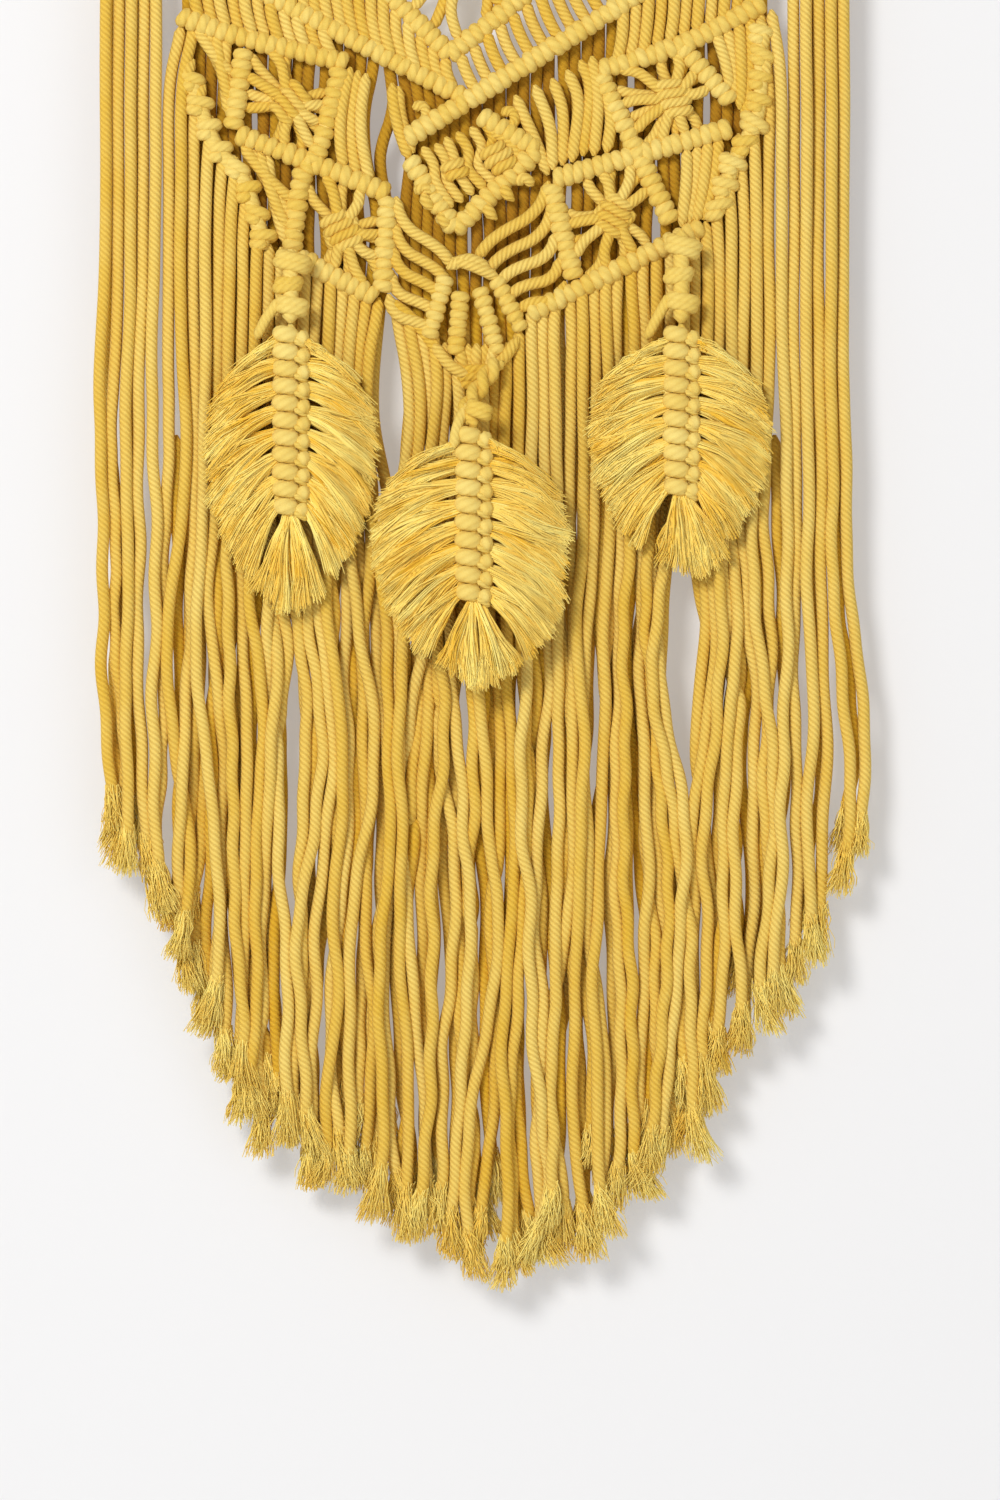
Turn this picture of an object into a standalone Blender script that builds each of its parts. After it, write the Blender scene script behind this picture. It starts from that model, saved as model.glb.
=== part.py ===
"""Knotted cotton wall hanging: a dowel on a cord, a knotted panel that narrows to a point, three leaf pendants
and a curved fringe.

Metres, +Z up. The viewer stands at -Y and the wall is at +Y. The origin is the point where the hanging cord rests
on its nail. In the code below a place in the panel is (x, depth) in millimetres: x from the centre line, and depth
below the dowel's axis.
"""

import math

import bpy
from mathutils import Vector

MM = 0.001

# Overall sizes, in millimetres.
HANG_RISE = 130.0  # from the nail down to the dowel's axis
DOWEL_LENGTH = 300.0
DOWEL_RADIUS = 6.0
CORD_RADIUS = 2.0  # each strand of the panel and the fringe
HANGING_CORD_RADIUS = 2.2
BAR_RADIUS = 3.8  # a row of hitches wrapped round a holding cord
CHAIN_RADIUS = 3.4  # the knots along the panel's lower edges
TIP_BAR_RADIUS = 2.8
GAP = 0.3  # clearance between pieces that touch
BAND_GAP = 0.1  # clearance between the end of a slanted strand and a bar's widest line

# The strands.
STRANDS_PER_SIDE = 30
OUTER_STRANDS = 5  # on each side, these pass beside the panel
CENTER_STRANDS = 7  # on each side of the middle, these make the middle third of the fringe
STRAND_PITCH = 4.0
CHOSEN_PITCH = 4.0  # the pitch that the points of the bars below were chosen for
VALLEY_DEPTH = 0.7  # half the thickness between two strands
STRAND_DEPTH = 1.95  # half the thickness of a strand



def spread(points):
    """Points moved sideways with the strands, when their pitch isn't the one that the points were chosen for."""
    return [(x * (STRAND_PITCH / CHOSEN_PITCH), depth) for x, depth in points]


# The fringe is cut to a curve, and its lower part swings from this depth.
SWING_DEPTH = 384.0
CUT_LINE = spread([
    (-122, 424), (-106, 440), (-98, 460), (-90, 478), (-82, 500), (-74, 519), (-56, 531), (-38, 542), (-21, 553),
    (0, 564), (14, 567), (37, 555), (53, 544), (69, 525), (78, 506), (91, 488), (104, 473), (112, 456), (122, 428),
])
CUT_SCATTER = 4.0  # how unevenly the ends are cut

# The leaf pendants: spine width and depth, and how far each plane is in front of the strands.
SPINE_HALF_WIDTH = 5.2
SPINE_HALF_DEPTH = 4.0
SPINE_KNOTS = 10
PENDANT_KNOT_RADIUS = 4.5
CENTER_CORD_RADIUS = 3.2  # the twisted cords that the middle leaf hangs by
SIDE_PENDANT_Y = -(BAR_RADIUS + GAP + PENDANT_KNOT_RADIUS)
CENTER_PENDANT_Y = SIDE_PENDANT_Y - 6.6
LEAF_HALF_DEPTH = 2.2
# Where each tuft leaves the spine, as a share of the spine, and where it ends: a share of the half width and of the
# leaf's length.
LEAF_TUFTS = [
    (0.03, 0.30, 0.06), (0.10, 0.74, 0.12), (0.22, 0.94, 0.24), (0.37, 1.00, 0.42), (0.53, 0.95, 0.60),
    (0.68, 0.82, 0.76), (0.84, 0.60, 0.89), (1.00, 0.30, 0.97),
]
TUFTS_PER_LEAF = 25

COTTON = (0.80, 0.58, 0.14)
BRUSHED = (0.83, 0.58, 0.15)
WOOD = (0.62, 0.44, 0.27)


def clear_scene():
    for obj in list(bpy.data.objects):
        bpy.data.objects.remove(obj, do_unlink=True)
    for mesh in list(bpy.data.meshes):
        bpy.data.meshes.remove(mesh)


def new_collection(name, hidden=False):
    collection = bpy.data.collections.new(name)
    collection.hide_render = hidden
    bpy.context.scene.collection.children.link(collection)
    return collection


def new_material(name, colour, roughness):
    material = bpy.data.materials.new(name)
    material.use_nodes = True
    shader = material.node_tree.nodes["Principled BSDF"]
    shader.inputs["Base Color"].default_value = (*colour, 1.0)
    shader.inputs["Roughness"].default_value = roughness
    shader.inputs["Metallic"].default_value = 0.0
    return material


def world(x, depth, y=0.0):
    """A place in the panel, in metres."""
    return Vector((x * MM, y * MM, -(HANG_RISE + depth) * MM))


def add_mesh(name, points, faces, look, collection):
    mesh = bpy.data.meshes.new(name)
    mesh.from_pydata([tuple(p) for p in points], [], faces)
    mesh.validate()
    obj = bpy.data.objects.new(name, mesh)
    material = new_material(name + "_" + look[0], look[1], look[2])
    mesh.materials.append(material)
    collection.objects.link(obj)
    return obj


def flip_if_inside_out(obj):
    """Turns every face round when the closed mesh has a negative volume."""
    volume = 0.0
    vertices = obj.data.vertices
    for polygon in obj.data.polygons:
        corners = [vertices[i].co for i in polygon.vertices]
        for second, third in zip(corners[1:-1], corners[2:]):
            volume += corners[0].dot(second.cross(third))
    if volume < 0:
        obj.data.flip_normals()
    return obj


def unite(obj, others):
    """Joins other meshes into obj with Boolean unions, and hides them."""
    for other in others:
        modifier = obj.modifiers.new("Join " + other.name, "BOOLEAN")
        modifier.operation = "UNION"
        modifier.solver = "EXACT"
        modifier.object = other
    return obj


# ---------------------------------------------------------------- shapes


def tube(name, line, radius, look, collection, sides=8, end_share=1.0):
    """A round tube along (x, depth) or (x, depth, y) points, with cones for ends."""
    path = [world(p[0], p[1], p[2] if len(p) > 2 else 0.0) for p in line]
    radius = radius * MM
    ahead = [(b - a).normalized() for a, b in zip(path[:-1], path[1:])]
    points = [path[0] - ahead[0] * radius * end_share]
    for i, centre in enumerate(path):
        before, after = ahead[max(i - 1, 0)], ahead[min(i, len(ahead) - 1)]
        along = (before + after).normalized()
        front = Vector((0, 1, 0))
        across = along.cross(front).normalized()
        for k in range(sides):
            turn = 2 * math.pi * k / sides
            points.append(centre + (across * math.cos(turn) + front * math.sin(turn)) * radius)
    points.append(path[-1] + ahead[-1] * radius * end_share)
    faces = [(0, 1 + (k + 1) % sides, 1 + k) for k in range(sides)]
    for i in range(len(path) - 1):
        start = 1 + i * sides
        for k in range(sides):
            n = (k + 1) % sides
            faces.append((start + k, start + n, start + sides + n, start + sides + k))
    last = len(points) - 1
    start = 1 + (len(path) - 1) * sides
    faces += [(last, start + k, start + (k + 1) % sides) for k in range(sides)]
    return flip_if_inside_out(add_mesh(name, points, faces, look, collection))


def knotted_stem(name, x, top, bottom, y, half_width, half_depth, knots, look, collection, tip_share=1.0):
    """A straight stack of knots: a stem that is narrower between two knots, with a pointed top."""
    sides = 10
    knot = (bottom - top) / knots
    rings = []
    for i in range(knots):
        rings.append((top + knot * (i + 0.04 if i else 0.0), 0.86))
        rings.append((top + knot * (i + 0.5), 1.0))
    rings.append((bottom, 0.8))
    points = [world(x, top - half_depth * tip_share * 0.85, y)]
    for depth, share in rings:
        for k in range(sides):
            turn = 2 * math.pi * k / sides
            points.append(world(
                x + half_width * share * math.cos(turn), depth, y + half_depth * share * math.sin(turn)))
    points.append(world(x, bottom + half_depth * 0.3, y))
    faces = [(0, 1 + (k + 1) % sides, 1 + k) for k in range(sides)]
    for i in range(len(rings) - 1):
        start = 1 + i * sides
        for k in range(sides):
            n = (k + 1) % sides
            faces.append((start + k, start + n, start + sides + n, start + sides + k))
    last = len(points) - 1
    start = 1 + (len(rings) - 1) * sides
    faces += [(last, start + k, start + (k + 1) % sides) for k in range(sides)]
    return flip_if_inside_out(add_mesh(name, points, faces, look, collection))


def pleated_sheet(name, columns, look, collection, y=0.0, roof=False):
    """A closed sheet through columns of (top, bottom, half depth), left to right. A roof closes the top with a
    ridge, so that the sheet can turn about the middle of its top edge without leaving its own width."""
    points = []
    for top, bottom, half in columns:
        points += [world(*top, y - half), world(*top, y + half), world(*bottom, y - half), world(*bottom, y + half)]
        if roof:
            points.append(world(top[0], top[1] - half * 0.95, y))
    step = 5 if roof else 4
    faces = []
    for i in range(len(columns) - 1):
        a, b = i * step, (i + 1) * step
        faces.append((a, a + 2, b + 2, b))
        faces.append((a + 1, b + 1, b + 3, a + 3))
        faces.append((a + 2, a + 3, b + 3, b + 2))
        if roof:
            faces.append((a, b, b + 4, a + 4))
            faces.append((a + 4, b + 4, b + 1, a + 1))
        else:
            faces.append((a, b, b + 1, a + 1))
    end = (len(columns) - 1) * step
    if roof:
        faces.append((0, 4, 1, 3, 2))
        faces.append((end, end + 2, end + 3, end + 1, end + 4))
    else:
        faces.append((0, 1, 3, 2))
        faces.append((end, end + 2, end + 3, end + 1))
    return flip_if_inside_out(add_mesh(name, points, faces, look, collection))


def hanging_strands(name, strands, look, collection, roof=False):
    """Strands side by side that hang straight down, each (x, top, bottom), joined where they touch."""
    half = STRAND_PITCH / 2
    columns = []
    for i, (x, top, bottom) in enumerate(strands):
        if i == 0:
            columns.append(((x - half, top), (x - half, bottom - 1.5), VALLEY_DEPTH))
        columns.append(((x - half * 0.5, top), (x - half * 0.5, bottom), STRAND_DEPTH))
        columns.append(((x + half * 0.5, top), (x + half * 0.5, bottom), STRAND_DEPTH))
        if i + 1 < len(strands):
            low = max(top, strands[i + 1][1])
            high = min(bottom, strands[i + 1][2])
        else:
            low, high = top, bottom
        columns.append(((x + half, low), (x + half, high - 1.5), VALLEY_DEPTH))
    return pleated_sheet(name, columns, look, collection, roof=roof)


def slanted_strands(name, tops, bottoms, count, look, collection, y=0.0, depth=STRAND_DEPTH, valley=VALLEY_DEPTH,
                    notch=0.04, lines=()):
    """Strands side by side that run between two matched lists of points, and stop short of every (line, radius)."""

    def at(points, share):
        place = share * (len(points) - 1)
        i = min(int(place), len(points) - 2)
        t = place - i
        return (
            points[i][0] * (1 - t) + points[i + 1][0] * t,
            points[i][1] * (1 - t) + points[i + 1][1] * t,
        )

    columns = []
    for i in range(count + 1):
        for offset, half in ((0.0, valley), (0.25, depth), (0.75, depth)):
            share = (i + offset) / count
            if share > 1:
                break
            top, bottom = at(tops, share), at(bottoms, share)
            if offset == 0.0:
                bottom = (bottom[0] + (top[0] - bottom[0]) * notch, bottom[1] + (top[1] - bottom[1]) * notch)
            columns.append((drawn_back(top, bottom, lines), drawn_back(bottom, top, lines), half))
    return pleated_sheet(name, columns, look, collection, y=y)


# ---------------------------------------------------------------- clearances


def distance_to_line(point, line):
    """The shortest distance from a point to a polyline, both as (x, depth)."""
    best = 1e9
    for a, b in zip(line[:-1], line[1:]):
        run = (b[0] - a[0], b[1] - a[1])
        length = run[0] ** 2 + run[1] ** 2
        t = ((point[0] - a[0]) * run[0] + (point[1] - a[1]) * run[1]) / length if length else 0.0
        t = min(1.0, max(0.0, t))
        best = min(best, math.hypot(point[0] - a[0] - t * run[0], point[1] - a[1] - t * run[1]))
    return best


def towards(a, b, distance):
    length = math.dist(a, b)
    return (a[0] + (b[0] - a[0]) * distance / length, a[1] + (b[1] - a[1]) * distance / length)


def drawn_back(end, other_end, lines):
    """The end of a strand, moved towards its other end until it clears every (line, radius)."""
    while math.dist(end, other_end) > 2.0 and any(distance_to_line(end, o) < r + BAND_GAP for o, r in lines):
        end = towards(end, other_end, 0.25)
    return end


def trimmed(line, radius, others):
    """The line with each end drawn back until it clears every other (line, radius)."""
    line = list(line)
    for _ in range(2):
        moved = 0.0
        while any(distance_to_line(line[0], o) < radius + r + GAP for o, r in others) and moved < 30:
            if math.dist(line[0], line[1]) < 1.0:
                line.pop(0)
            line[0] = towards(line[0], line[1], 0.25)
            moved += 0.25
        line.reverse()
    return line


def sampled(line):
    for a, b in zip(line[:-1], line[1:]):
        steps = max(2, int(math.dist(a, b) / 0.5))
        for i in range(steps + 1):
            yield (a[0] + (b[0] - a[0]) * i / steps, a[1] + (b[1] - a[1]) * i / steps)


def depth_below(x, lines, start):
    """The depth at which a strand centred on x comes clear below every (line, radius)."""
    best = start
    for line, radius in lines:
        for px, depth in sampled(line):
            aside = max(0.0, abs(px - x) - STRAND_PITCH / 2)
            if aside < radius + GAP:
                best = max(best, depth + math.sqrt((radius + GAP) ** 2 - aside**2))
    return best


def depth_above(x, lines, end):
    """The depth at which a strand centred on x meets the first of the lines from above."""
    mirrored = [([(px, -depth) for px, depth in line], radius) for line, radius in lines]
    return -depth_below(x, mirrored, -end)


def reach_of_ray(centre, turn, lines, longest, margin):
    """How far a ray runs before it comes within a margin of any (line, radius)."""
    reach = 0.0
    while reach < longest:
        step = reach + 0.2
        point = (centre[0] + step * math.cos(turn), centre[1] + step * math.sin(turn))
        if any(distance_to_line(point, line) < radius + margin for line, radius in lines):
            break
        reach = step
    return reach


def knot_flower(name, centre, lines, look, collection, longest, core=6.0, core_depth=3.9):
    """A square-knot cluster with eight arms of strands that run out to the bars round it."""
    arms = 8
    points = [world(*centre, -core_depth), world(*centre, core_depth)]
    for k in range(arms * 2):
        turn = math.pi * k / arms
        if k % 2:
            reach, half = min(core, reach_of_ray(centre, turn, lines, longest, 0.6)), 2.6
        else:
            reach, half = reach_of_ray(centre, turn, lines, longest, 0.4), 1.3
        x, depth = centre[0] + reach * math.cos(turn), centre[1] + reach * math.sin(turn)
        points += [world(x, depth, -half), world(x, depth, half)]
    faces = []
    for k in range(arms * 2):
        a, b = 2 + 2 * k, 2 + 2 * ((k + 1) % (arms * 2))
        faces += [(0, a, b), (1, b + 1, a + 1), (a, a + 1, b + 1, b)]
    return flip_if_inside_out(add_mesh(name, points, faces, look, collection))


def knot_ball(name, centre, half_width, half_height, half_depth, look, collection):
    """A rounded knot."""
    around, rings = 10, 4
    points = [world(centre[0], centre[1] - half_height)]
    for i in range(1, rings):
        tilt = math.pi * i / rings
        for k in range(around):
            turn = 2 * math.pi * k / around
            points.append(world(
                centre[0] + half_width * math.sin(tilt) * math.cos(turn),
                centre[1] - half_height * math.cos(tilt),
                half_depth * math.sin(tilt) * math.sin(turn),
            ))
    points.append(world(centre[0], centre[1] + half_height))
    faces = [(0, 1 + (k + 1) % around, 1 + k) for k in range(around)]
    for i in range(rings - 2):
        start = 1 + i * around
        for k in range(around):
            n = (k + 1) % around
            faces.append((start + k, start + n, start + around + n, start + around + k))
    last, start = len(points) - 1, 1 + (rings - 2) * around
    faces += [(last, start + k, start + (k + 1) % around) for k in range(around)]
    return flip_if_inside_out(add_mesh(name, points, faces, look, collection))


# ---------------------------------------------------------------- the hanger


def make_dowel(look, collection):
    bpy.ops.mesh.primitive_cylinder_add(
        vertices=24, radius=DOWEL_RADIUS * MM, depth=DOWEL_LENGTH * MM, location=world(0, 0),
        rotation=(0, math.pi / 2, 0))
    dowel = bpy.context.object
    dowel.name = "dowel"
    dowel.data.materials.append(new_material("dowel_wood", look[1], look[2]))
    for old in list(dowel.users_collection):
        old.objects.unlink(dowel)
    collection.objects.link(dowel)


def make_hanging_cord(look, collection, helpers):
    """The cord from end to end of the dowel over the nail, with a loop round the dowel at each end."""
    loop_radius = DOWEL_RADIUS + GAP + HANGING_CORD_RADIUS
    loop_x = DOWEL_LENGTH / 2 - 9.0
    crown = -(HANG_RISE + HANGING_CORD_RADIUS)
    cord = tube(
        "hanging_cord",
        [(-loop_x, -loop_radius), (-4.0, crown + 2.4), (0.0, crown), (4.0, crown + 2.4), (loop_x, -loop_radius)],
        HANGING_CORD_RADIUS, look, collection, end_share=0.2)
    loops = []
    for side, x in (("left", -loop_x), ("right", loop_x)):
        bpy.ops.mesh.primitive_torus_add(
            major_segments=16, minor_segments=8, major_radius=loop_radius * MM,
            minor_radius=HANGING_CORD_RADIUS * MM, location=world(x, 0), rotation=(0, math.pi / 2, 0))
        loop = bpy.context.object
        loop.name = side + "_loop_helper"
        loop.hide_render = True
        loop.display_type = "WIRE"
        for old in list(loop.users_collection):
            old.objects.unlink(loop)
        helpers.objects.link(loop)
        loops.append(loop)
    unite(cord, loops)


def make_larks_heads(look, collection):
    """The row of cord loops over the dowel, as one ridged sleeve."""
    inner = DOWEL_RADIUS + GAP
    outer = DOWEL_RADIUS + GAP + 2 * CORD_RADIUS
    sides = 12
    half_length = STRANDS_PER_SIDE * STRAND_PITCH
    rings = []
    for i in range(STRANDS_PER_SIDE):
        left = -half_length + i * 2 * STRAND_PITCH
        rings.append((left, outer - 1.2))
        rings.append((left + STRAND_PITCH, outer))
    rings.append((half_length, outer - 1.2))
    rings.append((half_length, inner))
    rings.append((-half_length, inner))
    points = []
    for x, radius in rings:
        for k in range(sides):
            turn = 2 * math.pi * (k + 0.5) / sides
            points.append(world(x, radius * math.cos(turn), radius * math.sin(turn)))
    faces = []
    for i in range(len(rings)):
        a, b = i * sides, ((i + 1) % len(rings)) * sides
        for k in range(sides):
            n = (k + 1) % sides
            faces.append((a + k, a + n, b + n, b + k))
    flip_if_inside_out(add_mesh("larks_head_row", points, faces, look, collection))


# ---------------------------------------------------------------- the knotted panel

PANEL_HALF = 23.5 * STRAND_PITCH
TOP_BAR_HALF = STRANDS_PER_SIDE * STRAND_PITCH - 1.0
TOP_BAR_DEPTH = DOWEL_RADIUS + GAP + 2 * CORD_RADIUS + GAP + BAR_RADIUS
TOP_BAR = [(-TOP_BAR_HALF, TOP_BAR_DEPTH), (TOP_BAR_HALF, TOP_BAR_DEPTH)]
ZIGZAG_UPPER = [(-PANEL_HALF, 80), *spread([(-48, 39), (0, 80), (48, 39)]), (PANEL_HALF, 80)]
ZIGZAG_LOWER = [(-PANEL_HALF, 90.6), *spread([(-48, 130), (0, 90.6), (48, 130)]), (PANEL_HALF, 90.6)]
INNER_CHEVRON = spread([(-46, 140), (-8, 177.4), (42, 138)])
LONG_RIGHT = spread([(92, 133.6), (-21.8, 204.2)])
LONG_LEFT = spread([(-92, 145), (-4, 190.8)])
CENTER_DIAMOND = spread([(1.8, 197), (19.8, 208), (-6.5, 233.5), (-21, 211)])
LEFT_UPPER_RAIL = spread([(-94.7, 165), (-75, 171.8), (-41, 180)])
LEFT_LONG_SIDE = spread([(-43, 182), (-50, 208), (-55.5, 217), (-58.5, 238)])
LEFT_MIDDLE_RAIL = spread([(-75.8, 203), (-53.4, 211.5), (-28, 221.8)])
LEFT_UPPER_SIDE = spread([(-74, 178), (-77.4, 200)])
LEFT_LOWER_SIDE = spread([(-28, 224), (-29.4, 252)])
LEFT_LOWER_RAIL = spread([(-58.6, 242.2), (-32, 255)])
LEFT_CHAIN = spread([(-92, 182), (-86, 200), (-81.5, 209), (-74, 218), (-67, 240)])
RIGHT_UPPER_RAIL = spread([(92.2, 161), (67, 173.8), (40, 182.5)])
RIGHT_LONG_SIDE = spread([(40, 184), (62.7, 229.4)])
RIGHT_MIDDLE_RAIL = spread([(81.6, 201), (53.8, 209), (25.3, 217.3)])
RIGHT_UPPER_SIDE = spread([(66, 175), (82.2, 192.6)])
RIGHT_LOWER_SIDE = spread([(24.3, 219.5), (31.7, 248)])
RIGHT_LOWER_RAIL = spread([(72.6, 232.6), (17, 260.5)])
RIGHT_CHAIN = spread([(91.8, 167), (90.5, 196), (83, 212), (77, 230)])
LEFT_TIP_BARS = [[(-9.3, 248.3), (-14.7, 268)], [(-4.6, 253.8), (-6.2, 273.4)]]
RIGHT_TIP_BARS = [[(1.4, 252.2), (7.4, 273.4)], [(6.8, 249.3), (14.9, 265.6)]]
FLOWER_REACH = 11.25 * STRAND_PITCH  # the longest strand of a big flower
TIP_KNOT = (0.6, 280.4)
TIP_KNOT_HALF_WIDTH = 8.0
TIP_KNOT_HALF_HEIGHT = 4.6
LEFT_FAN_TOPS = spread([(-22, 225), (-24.6, 250)])
LEFT_FAN_BOTTOMS = spread([(-10.6, 242.5), (-18.2, 261.8)])
RIGHT_FAN_TOPS = spread([(17, 222), (24.2, 243)])
RIGHT_FAN_BOTTOMS = spread([(5.0, 242.4), (14.8, 254.0)])


def panel_lines():
    """Every bar's line after its ends are drawn back from the bars that it meets, with its radius."""
    kept = {}

    def keep(name, line, radius, *against):
        others = [kept[other] for other in against]
        kept[name] = (trimmed(line, radius, others), radius)

    keep("top_hitch_bar", TOP_BAR, BAR_RADIUS)
    keep("zigzag_upper", ZIGZAG_UPPER, BAR_RADIUS)
    keep("zigzag_lower", ZIGZAG_LOWER, BAR_RADIUS)
    keep("inner_chevron", INNER_CHEVRON, BAR_RADIUS, "zigzag_lower")
    keep("right_long_diagonal", LONG_RIGHT, BAR_RADIUS)
    keep("left_long_diagonal", LONG_LEFT, BAR_RADIUS, "right_long_diagonal")
    keep("center_diamond", CENTER_DIAMOND, BAR_RADIUS, "right_long_diagonal")
    keep("left_upper_rail", LEFT_UPPER_RAIL, BAR_RADIUS, "left_long_diagonal")
    keep("right_upper_rail", RIGHT_UPPER_RAIL, BAR_RADIUS, "right_long_diagonal")
    keep("left_chain", LEFT_CHAIN, CHAIN_RADIUS, "left_upper_rail")
    keep("right_chain", RIGHT_CHAIN, CHAIN_RADIUS, "right_upper_rail")
    keep("left_middle_rail", LEFT_MIDDLE_RAIL, BAR_RADIUS, "left_chain", "center_diamond")
    keep("right_middle_rail", RIGHT_MIDDLE_RAIL, BAR_RADIUS, "right_chain", "center_diamond")
    for side, bars in (("left", LEFT_TIP_BARS), ("right", RIGHT_TIP_BARS)):
        for i, bar in enumerate(bars):
            kept[f"{side}_tip_bar_{i}"] = (bar, TIP_BAR_RADIUS)
    keep("left_lower_rail", LEFT_LOWER_RAIL, BAR_RADIUS, "left_chain", "left_tip_bar_0")
    keep("right_lower_rail", RIGHT_LOWER_RAIL, BAR_RADIUS, "right_chain", "right_tip_bar_1")
    keep("left_long_side", LEFT_LONG_SIDE, BAR_RADIUS, "left_upper_rail", "left_long_diagonal", "left_lower_rail")
    keep("right_long_side", RIGHT_LONG_SIDE, BAR_RADIUS, "right_upper_rail", "right_long_diagonal",
         "right_lower_rail")
    keep("left_upper_side", LEFT_UPPER_SIDE, BAR_RADIUS, "left_upper_rail", "left_middle_rail", "left_chain")
    keep("right_upper_side", RIGHT_UPPER_SIDE, BAR_RADIUS, "right_upper_rail", "right_middle_rail", "right_chain")
    keep("left_lower_side", LEFT_LOWER_SIDE, BAR_RADIUS, "left_middle_rail", "left_lower_rail")
    keep("right_lower_side", RIGHT_LOWER_SIDE, BAR_RADIUS, "right_middle_rail", "right_lower_rail")
    return kept


def make_panel(look, collection, helpers):
    kept = panel_lines()
    crossed = {"left_middle_rail": "left_long_side", "right_middle_rail": "right_long_side"}
    for name, (line, radius) in kept.items():
        if name in crossed.values() or "tip_bar" in name:
            continue
        if name in crossed:
            side = name.split("_")[0]
            bars = tube(side + "_cross_bars", line, radius, look, collection)
            other = tube(side + "_long_side_helper", kept[crossed[name]][0], radius, look, helpers)
            other.hide_render = True
            other.display_type = "WIRE"
            unite(bars, [other])
        else:
            tube(name, line, radius, look, collection)

    for side, bars in (("left", LEFT_TIP_BARS), ("right", RIGHT_TIP_BARS)):
        first = tube(side + "_tip_bars", bars[0], TIP_BAR_RADIUS, look, collection)
        second = tube(side + "_tip_bar_helper", bars[1], TIP_BAR_RADIUS, look, helpers)
        bridge_line = [towards(bars[0][0], bars[0][1], 6.0), towards(bars[1][0], bars[1][1], 4.0)]
        bridge = tube(side + "_tip_bridge_helper", bridge_line, TIP_BAR_RADIUS * 0.6, look, helpers)
        for helper in (second, bridge):
            helper.hide_render = True
            helper.display_type = "WIRE"
        unite(first, [second, bridge])
    knot_ball("tip_knot", TIP_KNOT, TIP_KNOT_HALF_WIDTH, TIP_KNOT_HALF_HEIGHT, BAR_RADIUS, look, collection)
    end = TIP_KNOT_HALF_WIDTH - TIP_KNOT_HALF_HEIGHT
    kept["tip_knot"] = (
        [(TIP_KNOT[0] - end, TIP_KNOT[1]), (TIP_KNOT[0] + end, TIP_KNOT[1])], TIP_KNOT_HALF_HEIGHT)

    # Strands that run between the bars.
    top = [kept["top_hitch_bar"]]
    upper = [kept["zigzag_upper"]]
    band = []
    count = int(PANEL_HALF // STRAND_PITCH)
    for i in range(-count, count + 1):
        x = i * STRAND_PITCH
        band.append((x, depth_below(x, top, 0.0), depth_above(x, upper, 200.0)))
    hanging_strands("top_strands", band, look, collection)
    above = [kept["zigzag_lower"], kept["inner_chevron"]]
    for side, sign in (("left", -1), ("right", 1)):
        below = [kept["left_long_diagonal"], kept["right_long_diagonal"]]
        band = []
        for i in range(3, count):
            x = sign * i * STRAND_PITCH
            start, end = depth_below(x, above, 0.0), depth_above(x, below, 300.0)
            if end - start > 6.0:
                band.append((x, start, end))
        band.sort()
        hanging_strands(side + "_shoulder_strands", band, look, collection)
    bars = list(kept.values())
    slanted_strands("left_inner_strands", spread([(-35.5, 179.4), (-27, 183.8)]),
                    spread([(-44, 209.8), (-31, 215.2)]), 3, look, collection, lines=bars)
    slanted_strands("right_inner_strands", spread([(18.5, 184.8), (31, 177)]),
                    spread([(28.4, 211.6), (38, 208.8)]), 3, look, collection, lines=bars)
    slanted_strands("center_diamond_strands", spread([(-12.6, 203.9), (11.6, 208.2)]),
                    spread([(-11, 218.5), (-3, 223.8)]), 5, look, collection, lines=bars)
    slanted_strands("left_fan", LEFT_FAN_TOPS, LEFT_FAN_BOTTOMS, 5, look, collection, lines=bars)
    slanted_strands("right_fan", RIGHT_FAN_TOPS, RIGHT_FAN_BOTTOMS, 5, look, collection, lines=bars)
    kept["left_fan"] = ([LEFT_FAN_TOPS[1], LEFT_FAN_BOTTOMS[1]], 1.0)
    kept["right_fan"] = ([RIGHT_FAN_TOPS[1], RIGHT_FAN_BOTTOMS[1]], 1.0)

    # Square-knot clusters inside the cells.
    lines = list(kept.values())
    knot_flower("upper_left_flower", *spread([(-47, 85)]), lines, look, collection, FLOWER_REACH, core=9.0)
    knot_flower("upper_right_flower", *spread([(47, 85)]), lines, look, collection, FLOWER_REACH, core=9.0)
    knot_flower("center_flower", *spread([(-3, 141)]), lines, look, collection, FLOWER_REACH, core=9.0)
    knot_flower("left_upper_flower", *spread([(-59, 193)]), lines, look, collection, 16.0)
    knot_flower("left_lower_flower", *spread([(-42.6, 234)]), lines, look, collection, 16.0)
    knot_flower("right_upper_flower", *spread([(63.5, 191.5)]), lines, look, collection, 16.0)
    knot_flower("right_lower_flower", *spread([(44.5, 229)]), lines, look, collection, 16.0)
    return lines


# ---------------------------------------------------------------- the fringe


def cut_depth(x):
    """Where the strand at x is cut off."""
    depth = CUT_LINE[-1][1]
    x = max(x, CUT_LINE[0][0])
    for (x0, d0), (x1, d1) in zip(CUT_LINE[:-1], CUT_LINE[1:]):
        if x <= x1:
            depth = d0 + (d1 - d0) * (x - x0) / (x1 - x0)
            break
    return depth + CUT_SCATTER * math.sin(x * 2.1) * math.cos(x * 0.73)


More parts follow.
